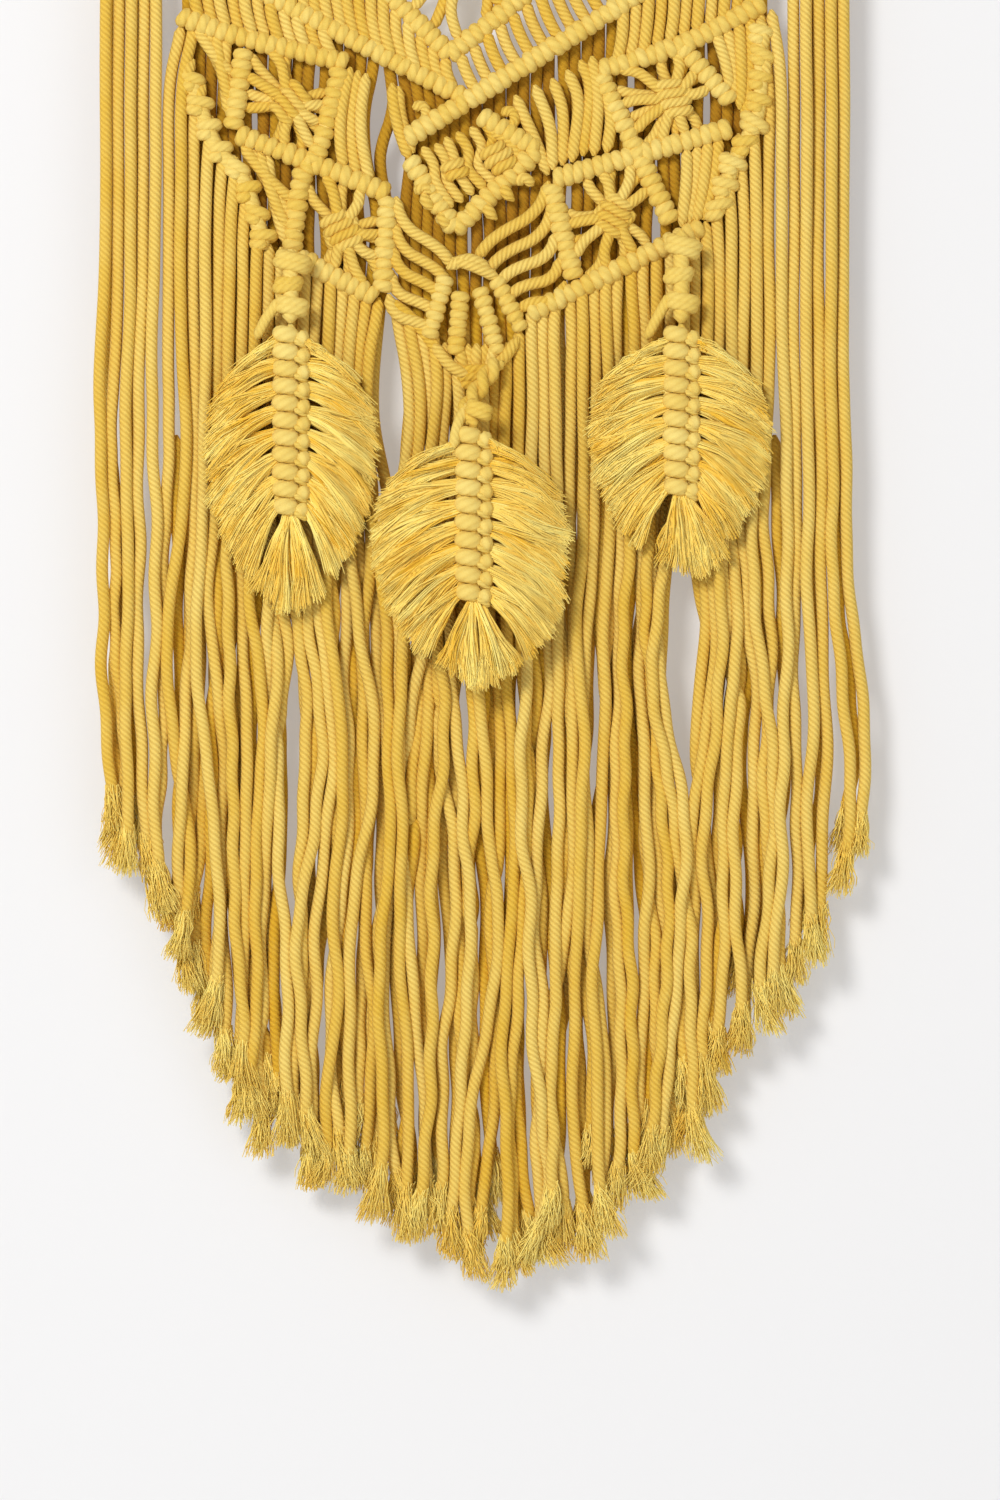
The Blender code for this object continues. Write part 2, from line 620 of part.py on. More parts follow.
def make_fringe(lines, look, collection):
    """The strands that hang from the panel, as an upper part that stays with it and a lower part that swings."""
    xs = [STRAND_PITCH * (i - STRANDS_PER_SIDE + 0.5) for i in range(2 * STRANDS_PER_SIDE)]
    left, right = STRANDS_PER_SIDE - CENTER_STRANDS, STRANDS_PER_SIDE + CENTER_STRANDS
    groups = {
        "outer_left_fringe": xs[:OUTER_STRANDS],
        "left_fringe": xs[OUTER_STRANDS:left],
        "center_fringe": xs[left:right],
        "right_fringe": xs[right:-OUTER_STRANDS],
        "outer_right_fringe": xs[-OUTER_STRANDS:],
    }
    # Room for the ridge along the top of the lower part, which turns about its own middle.
    end = SWING_DEPTH - STRAND_DEPTH - GAP
    for name, places in groups.items():
        over = [lines[0]] if name.startswith("outer") else lines
        band = [(x, depth_below(x, over, 0.0) + 0.2, end) for x in places]
        hanging_strands(name, band, look, collection)
    inset = 0.0
    for name, places in (
        ("lower_left_fringe", groups["outer_left_fringe"] + groups["left_fringe"]),
        ("lower_center_fringe", groups["center_fringe"]),
        ("lower_right_fringe", groups["right_fringe"] + groups["outer_right_fringe"]),
    ):
        shift = GAP / 2 + inset
        band = []
        for x in places:
            band.append((x, SWING_DEPTH, cut_depth(x)))
        first, last = band[0][0], band[-1][0]
        middle_x = (first + last) / 2
        share = 1.0 - 2 * shift / (last - first + STRAND_PITCH)
        band = [(middle_x + (x - middle_x) * share, top, bottom) for x, top, bottom in band]
        hanging_strands(name, band, look, collection, roof=True)


# ---------------------------------------------------------------- the leaf pendants


def make_leaf(side, x, knot_top, spine_top, spine_length, half_width, length, y, look, brushed, collection):
    """One pendant: the knots that it hangs by, the knotted spine and the brushed leaf round it."""
    swing_room = SPINE_HALF_DEPTH * 0.85 + GAP
    knot_bottom = spine_top - swing_room - PENDANT_KNOT_RADIUS * 0.3
    if side == "center":
        bottom = spine_top - swing_room - CENTER_CORD_RADIUS
        near = -(BAR_RADIUS + GAP + CENTER_CORD_RADIUS)
        middle = (knot_top + bottom) / 2
        tube("center_hanging_knots", [(x + 1.1, knot_top, near), (x - 4.0, middle, (near + y) / 2), (x, bottom - 2, y),
                                        (x, bottom, y)],
             CENTER_CORD_RADIUS, look, collection)
    else:
        knotted_stem(side + "_hanging_knots", x, knot_top, knot_bottom, y, PENDANT_KNOT_RADIUS, PENDANT_KNOT_RADIUS,
                     2, look, collection, tip_share=0.2)
    knotted_stem(side + "_leaf_spine", x, spine_top, spine_top + spine_length, y, SPINE_HALF_WIDTH,
                 SPINE_HALF_DEPTH, SPINE_KNOTS, look, collection)
    inside = SPINE_HALF_WIDTH + GAP
    inner, outer = [], []
    for along, wide, low in LEAF_TUFTS:
        inner.append((inside, along * spine_length + (0.6 if along == 1 else 0.0)))
        outer.append((wide * half_width, low * length))
    inner.append((0.0, spine_length + SPINE_HALF_DEPTH * 0.3 + 2 * GAP))
    outer.append((0.0, length))
    tops = [(x - px, spine_top + depth) for px, depth in inner]
    bottoms = [(x - px, spine_top + depth) for px, depth in outer]
    for (ix, idepth), (ox, odepth) in zip(reversed(inner[:-1]), reversed(outer[:-1])):
        tops.append((x + ix, spine_top + idepth))
        bottoms.append((x + ox, spine_top + odepth))
    slanted_strands(side + "_leaf_fibres", tops, bottoms, TUFTS_PER_LEAF, brushed, collection, y=y,
                    depth=LEAF_HALF_DEPTH, valley=1.2, notch=0.09)


def main():
    clear_scene()
    collection = new_collection("knotted_wall_hanging")
    helpers = new_collection("helpers", hidden=True)
    cotton = ("cotton", COTTON, 0.9)
    brushed = ("brushed_cotton", BRUSHED, 0.95)
    wood = ("wood", WOOD, 0.6)

    make_dowel(wood, collection)
    make_hanging_cord(cotton, collection, helpers)
    make_larks_heads(cotton, collection)
    lines = make_panel(cotton, collection, helpers)
    make_fringe(lines, cotton, collection)
    make_leaf("left", -14.7 * STRAND_PITCH, 241.0, 266.6, 58.8, 26.8, 89.0, SIDE_PENDANT_Y, cotton, brushed, collection)
    make_leaf("center", -0.5, 279.5, 299.0, 54.0, 31.0, 80.5, CENTER_PENDANT_Y, cotton, brushed, collection)
    make_leaf("right", 16.45 * STRAND_PITCH, 235.0, 266.6, 52.5, 27.8, 77.2, SIDE_PENDANT_Y, cotton, brushed,
              collection)


main()
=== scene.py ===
"""Looks for the knotted cotton wall hanging: twisted cords, hitch bars, leaf pendants and frayed ends.

Places inside the hanging are (x, depth, y) in millimetres: x from the middle, depth below the dowel's axis, and
y towards the wall. The viewer is at -y.
"""
import math
import random

import bpy
import numpy as np
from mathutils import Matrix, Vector


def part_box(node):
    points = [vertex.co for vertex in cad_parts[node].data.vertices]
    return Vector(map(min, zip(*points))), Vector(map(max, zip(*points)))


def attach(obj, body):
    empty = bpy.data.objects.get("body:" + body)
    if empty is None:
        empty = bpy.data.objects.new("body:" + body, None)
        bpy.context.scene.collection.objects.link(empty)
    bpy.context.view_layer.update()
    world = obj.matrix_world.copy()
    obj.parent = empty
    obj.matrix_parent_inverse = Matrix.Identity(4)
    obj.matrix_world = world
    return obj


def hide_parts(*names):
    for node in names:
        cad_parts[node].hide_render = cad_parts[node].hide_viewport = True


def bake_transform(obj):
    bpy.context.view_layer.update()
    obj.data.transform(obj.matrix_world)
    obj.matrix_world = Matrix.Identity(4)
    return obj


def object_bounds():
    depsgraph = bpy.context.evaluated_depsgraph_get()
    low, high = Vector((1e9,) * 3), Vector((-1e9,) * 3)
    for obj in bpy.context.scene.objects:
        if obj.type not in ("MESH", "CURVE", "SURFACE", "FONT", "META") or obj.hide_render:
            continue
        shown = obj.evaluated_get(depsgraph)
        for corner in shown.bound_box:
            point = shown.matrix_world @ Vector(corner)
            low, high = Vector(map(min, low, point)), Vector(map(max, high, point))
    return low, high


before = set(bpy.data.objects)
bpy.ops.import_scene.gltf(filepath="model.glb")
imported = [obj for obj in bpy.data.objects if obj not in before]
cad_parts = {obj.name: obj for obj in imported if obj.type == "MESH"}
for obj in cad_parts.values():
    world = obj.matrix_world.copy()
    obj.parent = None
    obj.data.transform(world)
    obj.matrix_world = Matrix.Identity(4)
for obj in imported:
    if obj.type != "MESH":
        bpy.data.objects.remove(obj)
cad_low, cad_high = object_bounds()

MM = 0.001
CORD = 1.95  # radius of a strand
STRIPE = 1.8  # distance along a cord from one ply to the next
PLIES = 6
BLOCK_EDGE = 0.07  # the empty edge of a square in the map for baking, as a share of its side
PITCH = 4.0  # distance between the hanging strands
rng = random.Random(11)
noise = np.random.default_rng(11)

dowel_low, dowel_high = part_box("dowel")
AXIS = (dowel_low + dowel_high) / 2
ORIGIN = np.array([AXIS.x, AXIS.y, AXIS.z])


def at(points):
    """(x, depth) or (x, depth, y) in millimetres, as metres in the frame."""
    points = np.atleast_2d(np.asarray([tuple(p) + (0.0,) * (3 - len(p)) for p in points], float))
    return ORIGIN + np.column_stack([points[:, 0], points[:, 2], -points[:, 1]]) * MM


def depth_of(z):
    return (AXIS.z - z) / MM


# ---------------------------------------------------------------- lines


def run_of(line):
    """The distance along the line at each of its points."""
    return np.concatenate([[0.0], np.cumsum(np.linalg.norm(np.diff(line, axis=0), axis=1))])


def resampled(line, step=None, count=None):
    line = np.asarray(line, float)
    run = run_of(line)
    if count is None:
        count = max(3, int(round(run[-1] / step)) + 1)
    places = np.linspace(0.0, run[-1], count)
    return np.column_stack([np.interp(places, run, line[:, i]) for i in range(line.shape[1])])


def smooth(points, step=2.5):
    """A soft curve through the points, in millimetres, as (x, depth, y)."""
    points = np.asarray([tuple(p) + (0.0,) * (3 - len(p)) for p in points], float)
    if len(points) == 2:
        return resampled(points, step)
    padded = np.vstack([2 * points[0] - points[1], points, 2 * points[-1] - points[-2]])
    out = []
    for a, b, c, d in zip(padded[:-3], padded[1:-2], padded[2:-1], padded[3:]):
        t = np.linspace(0.0, 1.0, 12, endpoint=False)[:, None]
        square, cube = 2 * a - 5 * b + 4 * c - d, 3 * b - a - 3 * c + d
        out.append(0.5 * (2 * b + (c - a) * t + square * t**2 + cube * t**3))
    out.append(points[-1:])
    return resampled(np.vstack(out), step)


def point_on(line, share):
    line = np.asarray([tuple(p) + (0.0,) * (3 - len(p)) for p in line], float)
    run = run_of(line)
    return np.array([np.interp(share * run[-1], run, line[:, i]) for i in range(3)])


# ---------------------------------------------------------------- meshes of yarn


class Yarn:
    """Collects tubes along lines, and makes one mesh of them. Its UV map runs round and along each tube.

    With blocks, a second map lays each call's tubes side by side in a square of their own, for baking.
    """

    def __init__(self, blocks=False):
        self.blocks = [] if blocks else None
        self.points = []
        self.quads = []
        self.uvs = []
        self.shades = []
        self.count = 0

    def tubes(self, lines, radii, sides=8, shade=0.0, frame_hint=(0.0, 1.0, 0.0)):
        """Tubes of one point count along lines of metres, shaped (tubes, points, 3)."""
        lines = np.asarray(lines, float)
        many, length = lines.shape[:2]
        radii = np.broadcast_to(np.asarray(radii, float), (many, length)) * MM
        shade = np.asarray(shade, float)
        shade = np.broadcast_to(shade if shade.ndim == 2 else shade.reshape(-1, 1), (many, length))
        ahead = np.gradient(lines, axis=1)
        ahead /= np.maximum(np.linalg.norm(ahead, axis=2, keepdims=True), 1e-12)
        hint = np.broadcast_to(np.asarray(frame_hint, float), ahead.shape)
        across = np.cross(ahead, hint)
        across /= np.maximum(np.linalg.norm(across, axis=2, keepdims=True), 1e-9)
        up = np.cross(across, ahead)
        turn = np.linspace(0.0, 2 * math.pi, sides, endpoint=False)
        turn = turn[None, None, :, None]
        ring = across[:, :, None] * np.cos(turn) + up[:, :, None] * np.sin(turn)
        points = lines[:, :, None] + ring * radii[:, :, None, None]
        run = np.concatenate(
            [np.zeros((many, 1)), np.cumsum(np.linalg.norm(np.diff(lines, axis=1), axis=2), axis=1)], axis=1)
        run = run / MM / STRIPE + noise.random((many, 1)) * 7
        m, i, k = np.meshgrid(np.arange(many), np.arange(length - 1), np.arange(sides), indexing="ij")
        n = (k + 1) % sides
        base = self.count + (m * length + i) * sides
        quads = np.stack([base + k, base + n, base + sides + n, base + sides + k], axis=-1).reshape(-1, 4)
        u0, u1 = k / sides, (k + 1) / sides
        v0, v1 = run[m, i], run[m, i + 1]
        uvs = np.stack([u0, v0, u1, v0, u1, v1, u0, v1], axis=-1).reshape(-1, 2)
        if self.blocks is not None:
            left, right = (m + u0) / many, (m + u1) / many
            low, high = i / (length - 1), (i + 1) / (length - 1)
            block = np.stack([left, low, right, low, right, high, left, high], axis=-1)
            self.blocks.append(block.reshape(-1, 2))
        self.points.append(points.reshape(-1, 3))
        self.quads.append(quads)
        self.uvs.append(uvs)
        self.shades.append(np.repeat(shade.reshape(-1), sides))
        self.count += many * length * sides

    def cord(self, line, radius=CORD, sides=10, shade=None, hint=None, round_ends=True):
        """One cord along (x, depth, y) points in millimetres."""
        line = np.asarray(line, float)
        metres = at(line)
        radii = np.full(len(line), 1.0) * radius
        if round_ends and len(line) > 3:
            radii[0] *= 0.3
            radii[-1] *= 0.3
        if shade is None:
            shade = rng.uniform(-1, 1)
        if hint is None:
            ahead = np.gradient(metres, axis=0)
            ahead /= np.maximum(np.linalg.norm(ahead, axis=1, keepdims=True), 1e-12)
            hint = transported(ahead)
        self.tubes(metres[None], radii[None], sides, shade, hint)

    def object(self, name, material, slot="cotton_cord"):
        points = np.concatenate(self.points)
        quads = np.concatenate(self.quads)
        mesh = bpy.data.meshes.new(name)
        mesh.vertices.add(len(points))
        mesh.vertices.foreach_set("co", points.astype(np.float32).ravel())
        mesh.loops.add(quads.size)
        mesh.loops.foreach_set("vertex_index", quads.astype(np.int32).ravel())
        mesh.polygons.add(len(quads))
        mesh.polygons.foreach_set("loop_start", np.arange(0, quads.size, 4, dtype=np.int32))
        mesh.polygons.foreach_set("use_smooth", np.ones(len(quads), bool))
        layer = mesh.uv_layers.new(name="Yarn")
        layer.data.foreach_set("uv", np.concatenate(self.uvs).astype(np.float32).ravel())
        if self.blocks:
            across = math.ceil(math.sqrt(len(self.blocks)))
            placed = [
                (block * (1 - 2 * BLOCK_EDGE) + BLOCK_EDGE + (k % across, k // across)) / across
                for k, block in enumerate(self.blocks)
            ]
            layer = mesh.uv_layers.new(name="OFBake")
            layer.data.foreach_set("uv", np.concatenate(placed).astype(np.float32).ravel())
        shades = mesh.attributes.new("shade", "FLOAT", "POINT")
        shades.data.foreach_set("value", np.concatenate(self.shades).astype(np.float32))
        mesh.update(calc_edges=True)
        mesh.materials.append(material)
        obj = bpy.data.objects.new(name, mesh)
        bpy.context.scene.collection.objects.link(obj)
        return obj


def transported(ahead):
    """A direction across the line at each point that turns as little as it can."""
    hint = np.array([0.0, 1.0, 0.0])
    if abs(ahead[0] @ hint) > 0.9:
        hint = np.array([1.0, 0.0, 0.0])
    out = []
    for direction in ahead:
        hint = hint - (hint @ direction) * direction
        hint /= max(np.linalg.norm(hint), 1e-9)
        out.append(hint)
    return np.array([out])


# ---------------------------------------------------------------- materials


class Nodes:
    """Short calls for building a node tree."""

    def __init__(self, name):
        self.material = bpy.data.materials.new(name)
        self.material.use_nodes = True
        self.tree = self.material.node_tree
        self.shader = self.tree.nodes["Principled BSDF"]

    def add(self, kind, **settings):
        node = self.tree.nodes.new(kind)
        for key, value in settings.items():
            setattr(node, key, value)
        return node

    def link(self, source, target):
        self.tree.links.new(source, target)

    def math(self, operation, a, b=None, c=None):
        node = self.add("ShaderNodeMath", operation=operation)
        for i, value in enumerate((a, b, c)):
            if value is None:
                continue
            if isinstance(value, (int, float)):
                node.inputs[i].default_value = value
            else:
                self.link(value, node.inputs[i])
        return node.outputs[0]

    def noise(self, scale, detail=2.0, rough=0.5, vector=None):
        node = self.add("ShaderNodeTexNoise")
        node.inputs["Scale"].default_value = scale
        node.inputs["Detail"].default_value = detail
        node.inputs["Roughness"].default_value = rough
        if vector is not None:
            self.link(vector, node.inputs["Vector"])
        return node.outputs["Fac"]

    def mix(self, factor, a, b, blend="MIX"):
        node = self.add("ShaderNodeMix", data_type="RGBA", blend_type=blend)
        for socket, value in ((node.inputs[0], factor), (node.inputs[6], a), (node.inputs[7], b)):
            if isinstance(value, (int, float)):
                socket.default_value = value
            elif isinstance(value, tuple):
                socket.default_value = (*value, 1.0)
            else:
                self.link(value, socket)
        return node.outputs[2]

    def finish(self, **values):
        """Sets inputs of the shader, with _ for each space in a name."""
        for name, value in values.items():
            self.shader.inputs[name.replace("_", " ")].default_value = value

    def bump(self, height, strength, distance):
        node = self.add("ShaderNodeBump")
        node.inputs["Strength"].default_value = strength
        node.inputs["Distance"].default_value = distance
        self.link(height, node.inputs["Height"])
        self.link(node.outputs["Normal"], self.shader.inputs["Normal"])

    def ramp(self, value, low, high):
        """The value mapped from low..high to 0..1, and held inside that."""
        node = self.add("ShaderNodeMapRange")
        self.link(value, node.inputs["Value"])
        node.inputs["From Min"].default_value = low
        node.inputs["From Max"].default_value = high
        return node.outputs["Result"]


PAINTED_SHADOW_BEHIND_KNOTS = (0.36, 0.17, 0.012)  # painted shadow: the dark brown given to cords behind the knots, where they lie in shade
# painted shade: the colour that darkens the grooves between plies
PAINTED_GROOVE_SHADE = (0.50, 0.23, 0.010)
SHEEN, SHEEN_TINT = 0.08, (1.0, 0.86, 0.45, 1.0)


def cotton_material(name, light, deep, groove_shade, bump_strength):
    """Twisted mustard cotton: slanting plies with painted shade darkening the grooves between them, fine fibres, a
    small change of colour from cord to cord, and a painted shadow of deep brown on cords whose shade is far below
    zero.
    """
    n = Nodes(name)
    uv = n.add("ShaderNodeUVMap", uv_map="Yarn")
    parts = n.add("ShaderNodeSeparateXYZ")
    n.link(uv.outputs["UV"], parts.inputs[0])
    turn = n.math("SUBTRACT", parts.outputs["Y"], n.math("MULTIPLY", parts.outputs["X"], float(PLIES)))
    wave = n.math("SINE", n.math("MULTIPLY", turn, 2 * math.pi))
    ply = n.math("POWER", n.math("MULTIPLY_ADD", wave, 0.5, 0.5), 0.6)
    place = n.add("ShaderNodeTexCoord").outputs["Object"]
    fuzz = n.noise(2600.0, 3.0, 0.6, place)
    patch = n.noise(55.0, 3.0, 0.55, place)
    shade = n.add("ShaderNodeAttribute", attribute_name="shade", attribute_type="GEOMETRY").outputs["Fac"]
    patches = n.math("MULTIPLY_ADD", n.ramp(patch, 0.3, 0.7), 0.2, 0.15)
    tone = n.math("ADD", n.math("MULTIPLY", shade, 0.20), patches)
    tone = n.math("ADD", tone, n.math("MULTIPLY", n.ramp(fuzz, 0.25, 0.75), 0.25))
    body = n.mix(n.ramp(tone, 0.0, 0.9), deep, light)
    # painted shadow: cords whose shade is far below zero turn to the dark brown of cords lying in shade behind the
    # knots
    body = n.mix(n.ramp(shade, -3.0, -7.0), body, PAINTED_SHADOW_BEHIND_KNOTS)
    # painted shade: the grooves between plies are darkened towards the groove colour, as strongly as the groove
    # amount says
    groove_shaded = n.mix(n.math("MULTIPLY", n.math("SUBTRACT", 1.0, ply), groove_shade), body, PAINTED_GROOVE_SHADE)
    n.link(groove_shaded, n.shader.inputs["Base Color"])
    n.finish(Roughness=0.92, Specular_IOR_Level=0.15, Sheen_Weight=SHEEN, Sheen_Roughness=0.5,
             Sheen_Tint=SHEEN_TINT)
    n.bump(n.math("ADD", ply, n.math("MULTIPLY", fuzz, 0.55)), bump_strength, 0.5 * MM)
    return n.material


def brushed_material(name, light, deep):
    """Combed-out cotton: each fibre has its own tone, and the ends are a little lighter."""
    n = Nodes(name)
    place = n.add("ShaderNodeTexCoord").outputs["Object"]
    patch = n.noise(90.0, 2.0, 0.5, place)
    shade = n.add("ShaderNodeAttribute", attribute_name="shade", attribute_type="GEOMETRY").outputs["Fac"]
    tone = n.math("ADD", n.math("MULTIPLY", shade, 0.36), n.ramp(patch, 0.2, 0.8))
    n.link(n.mix(n.ramp(tone, -0.2, 1.15), deep, light), n.shader.inputs["Base Color"])
    n.finish(Roughness=0.85, Specular_IOR_Level=0.2, Sheen_Weight=SHEEN, Sheen_Roughness=0.5,
             Sheen_Tint=SHEEN_TINT)
    n.bump(n.noise(4000.0, 2.0, 0.5, place), 0.3, 0.2 * MM)
    return n.material


def wood_material(name):
    """Pale sanded wood with grain along x."""
    n = Nodes(name)
    place = n.add("ShaderNodeTexCoord").outputs["Object"]
    stretch = n.add("ShaderNodeMapping")
    stretch.inputs["Scale"].default_value = (0.05, 1.0, 1.0)
    n.link(place, stretch.inputs["Vector"])
    grain = n.noise(900.0, 4.0, 0.6, stretch.outputs["Vector"])
    rings = n.add("ShaderNodeTexWave", wave_type="BANDS", bands_direction="Z")
    rings.inputs["Scale"].default_value = 120.0
    rings.inputs["Distortion"].default_value = 6.0
    rings.inputs["Detail"].default_value = 3.0
    n.link(stretch.outputs["Vector"], rings.inputs["Vector"])
    pale = n.mix(n.ramp(grain, 0.3, 0.7), (0.50, 0.32, 0.17), (0.66, 0.46, 0.27))
    colour = n.mix(n.math("MULTIPLY", rings.outputs["Fac"], 0.35), pale, (0.36, 0.21, 0.10))
    n.link(colour, n.shader.inputs["Base Color"])
    n.finish(Roughness=0.62)
    n.bump(grain, 0.35, 0.3 * MM)
    return n.material


LIGHT = (0.92, 0.735, 0.23)
DEEP = (0.73, 0.435, 0.030)
# groove: how strongly the grooves between plies are darkened, as painted shade
cotton = cotton_material("twisted_cotton", LIGHT, DEEP, groove_shade=0.40, bump_strength=0.5)
knotted = cotton_material("knotted_cotton", (0.90, 0.745, 0.26), (0.73, 0.465, 0.05), groove_shade=0.18,
                          bump_strength=0.3)
brushed = brushed_material("combed_cotton", (1.0, 0.83, 0.25), (0.90, 0.555, 0.05))
wood = wood_material("sanded_wood")

# ---------------------------------------------------------------- knots


def wound(yarn, line, core=1.4, cord=2.1, spacing=3.2, y=0.0):
    """Hitches in a row round a holding cord: one loop after another, packed tightly."""
    line = resampled(smooth(line, 1.0), 0.5)
    run = run_of(line)
    count = max(2, int(round(run[-1] / spacing)))
    places = (np.arange(count) + 0.5) * run[-1] / count + noise.normal(0.0, 0.12, count)
    centre = np.column_stack([np.interp(places, run, line[:, i]) for i in range(3)])
    later = np.column_stack([np.interp(places + 0.5, run, line[:, i]) for i in range(3)])
    sooner = np.column_stack([np.interp(places - 0.5, run, line[:, i]) for i in range(3)])
    ahead = later - sooner
    ahead /= np.linalg.norm(ahead, axis=1, keepdims=True)
    across = np.cross(ahead, np.array([0.0, 0.0, 1.0]))
    across /= np.linalg.norm(across, axis=1, keepdims=True)
    turn = np.linspace(0.0, 2 * math.pi, 17) + math.pi / 2
    size = core + noise.normal(0.0, 0.13, count)
    lean = 0.06 + noise.normal(0.0, 0.10, count)
    loops = centre[:, None] + size[:, None, None] * (
        np.cos(turn)[None, :, None] * across[:, None]
        + np.sin(turn)[None, :, None] * np.array([0.0, 0.0, 1.0])
        + (lean[:, None] * np.cos(turn)[None])[:, :, None] * ahead[:, None] * 1.6)
    loops[:, :, 2] += y
    shape = loops.shape
    metres = at(loops.reshape(-1, 3)).reshape(shape)
    along = np.stack([ahead[:, 0], ahead[:, 2], -ahead[:, 1]], axis=1)
    hint = np.broadcast_to(along[:, None], shape)
    tones = rng.uniform(-0.6, 0.6) + noise.normal(0, 0.3, count)
    yarn.tubes(metres, cord * noise.uniform(0.96, 1.04, (count, 1)), 10, tones, hint)
    inner = line.copy()
    inner[:, 2] += y
    yarn.cord(resampled(inner, 3.0), core + 1.1, 8)


def knot_row(yarn, line, every=7.6, width=10.0, height=8.6):
    """Square knots one after another along an edge."""
    line = smooth(line, 1.0)
    run = run_of(line)
    count = max(2, int(round(run[-1] / every)))
    for i in range(count):
        share = (i + 0.5) / count * run[-1]
        x, depth = (float(np.interp(share, run, line[:, k])) for k in (0, 1))
        lump(yarn, (x + rng.uniform(-0.5, 0.5), depth), width * rng.uniform(0.9, 1.08), height, turns=1.6,
             tilt=rng.uniform(-0.45, 0.45), depth_share=0.62, radius=1.95)
    yarn.cord(resampled(line, 2.5), 2.6, 8)


def strand(yarn, points, radius=CORD, y=None, wave=0.25, step=2.5, shade=None):
    """A hanging or stretched strand with small unevenness."""
    line = smooth(points, step)
    if y is not None:
        line[:, 2] += y
    phase = noise.random(2) * 6.3
    run = run_of(line)
    fade = np.clip(np.minimum(run, run[-1] - run) / 8.0, 0.0, 1.0)
    line[:, 0] += wave * fade * np.sin(run / 7.0 + phase[0])
    line[:, 2] += wave * fade * np.sin(run / 9.0 + phase[1])
    yarn.cord(line, radius, shade=shade)
    return line


def fan(yarn, starts, ends, count, bow=0.0, sway=0.0, y=0.0):
    """Strands from one bar to another, bowed to one side or swayed into an S."""
    for i in range(count):
        share = (i + 0.5) / count
        a, b = point_on(starts, share), point_on(ends, share)
        along = b - a
        aside = np.array([along[1], -along[0], 0.0]) / max(math.hypot(along[0], along[1]), 1e-6)
        depth = y + (0.6 if i % 2 else -0.6)
        line = []
        for t in (0.0, 0.2, 0.4, 0.6, 0.8, 1.0):
            bend = bow * math.sin(math.pi * t) + sway * math.sin(2 * math.pi * t)
            point = a + along * t + aside * bend
            line.append((point[0], point[1], depth * math.sin(math.pi * min(max(t, 0.1), 0.9))))
        strand(yarn, line, wave=0.15)


def lump(yarn, centre, width, height, turns=2.0, tilt=0.0, depth_share=0.75, radius=1.8, y=0.0):
    """A fat knot: a few turns round an upright core."""
    count = int(turns * 14)
    t = np.linspace(0.0, 1.0, count)
    turn = 2 * math.pi * turns * t + math.pi * 0.5
    half = (width / 2 - radius) * (0.72 + 0.28 * np.sin(math.pi * t))
    rise = (height - 2 * radius) * (t - 0.5)
    x = half * np.cos(turn)
    depth = rise + x * math.tan(tilt)
    line = np.column_stack([centre[0] + x, centre[1] + depth, y + half * depth_share * np.sin(turn)])
    yarn.cord(line, radius)


def cross_knot(yarn, centre, turn, size, y=-2.2, bands=3, radius=1.7):
    """The middle of a square-knot flower: bands that arch over the strands."""
    along = np.array([math.cos(turn), math.sin(turn)])
    aside = np.array([-along[1], along[0]])
    for i in range(bands):
        offset = (i - (bands - 1) / 2) * radius * 1.85
        half = size * (1.0 - 0.16 * abs(i - (bands - 1) / 2))
        line = []
        for t in (-1.0, -0.7, -0.3, 0.3, 0.7, 1.0):
            place = np.array(centre) + along * half * t + aside * (offset + 0.5 * math.sin(3 * t))
            line.append((place[0], place[1], y * (1.0 - 0.95 * t**4)))
        yarn.cord(smooth(line, 1.2), radius)


LONGEST_SPOKE = 48.0


def distance_to(point, line):
    best = 1e9
    for a, b in zip(line[:-1], line[1:]):
        run = (b[0] - a[0], b[1] - a[1])
        length = max(run[0] ** 2 + run[1] ** 2, 1e-9)
        t = min(1.0, max(0.0, ((point[0] - a[0]) * run[0] + (point[1] - a[1]) * run[1]) / length))
        best = min(best, math.hypot(point[0] - a[0] - t * run[0], point[1] - a[1] - t * run[1]))
    return best


def flower(yarn, centre, spans, knot_turn, size, spacing, bands, start=2.5):
    """Strands that run out from a knot to the bars round it, over the given spans of angle in degrees."""
    for low, high in spans:
        count = max(1, int(round((high - low) / spacing)))
        for i in range(count):
            turn = math.radians(low + (high - low) * (i + 0.5) / count)
            reach = start
            while reach < LONGEST_SPOKE:
                place = (centre[0] + reach * math.cos(turn), centre[1] + reach * math.sin(turn))
                if any(distance_to(place, line) < 1.6 for line in LINES):
                    break
                reach += 0.5
            bend = rng.uniform(-0.10, 0.10) + 0.10 * (1 if i % 2 else -1)
            y0, y1 = (-1.6, -0.4) if i % 2 else (0.4, 1.0)
            line = []
            for t in (0.0, 0.33, 0.66, 1.0):
                far = start + (reach - start) * t
                angle = turn + bend * math.sin(math.pi * t)
                line.append((centre[0] + far * math.cos(angle), centre[1] + far * math.sin(angle),
                             y0 + (y1 - y0) * t))
            strand(yarn, line, CORD * 0.95, wave=0.1)
    cross_knot(yarn, centre, knot_turn, size, bands=bands)
    cross_knot(yarn, centre, knot_turn + math.pi / 2, size * 0.8, y=-0.6, bands=bands)


# ---------------------------------------------------------------- the knotted panel's lines, as in the CAD

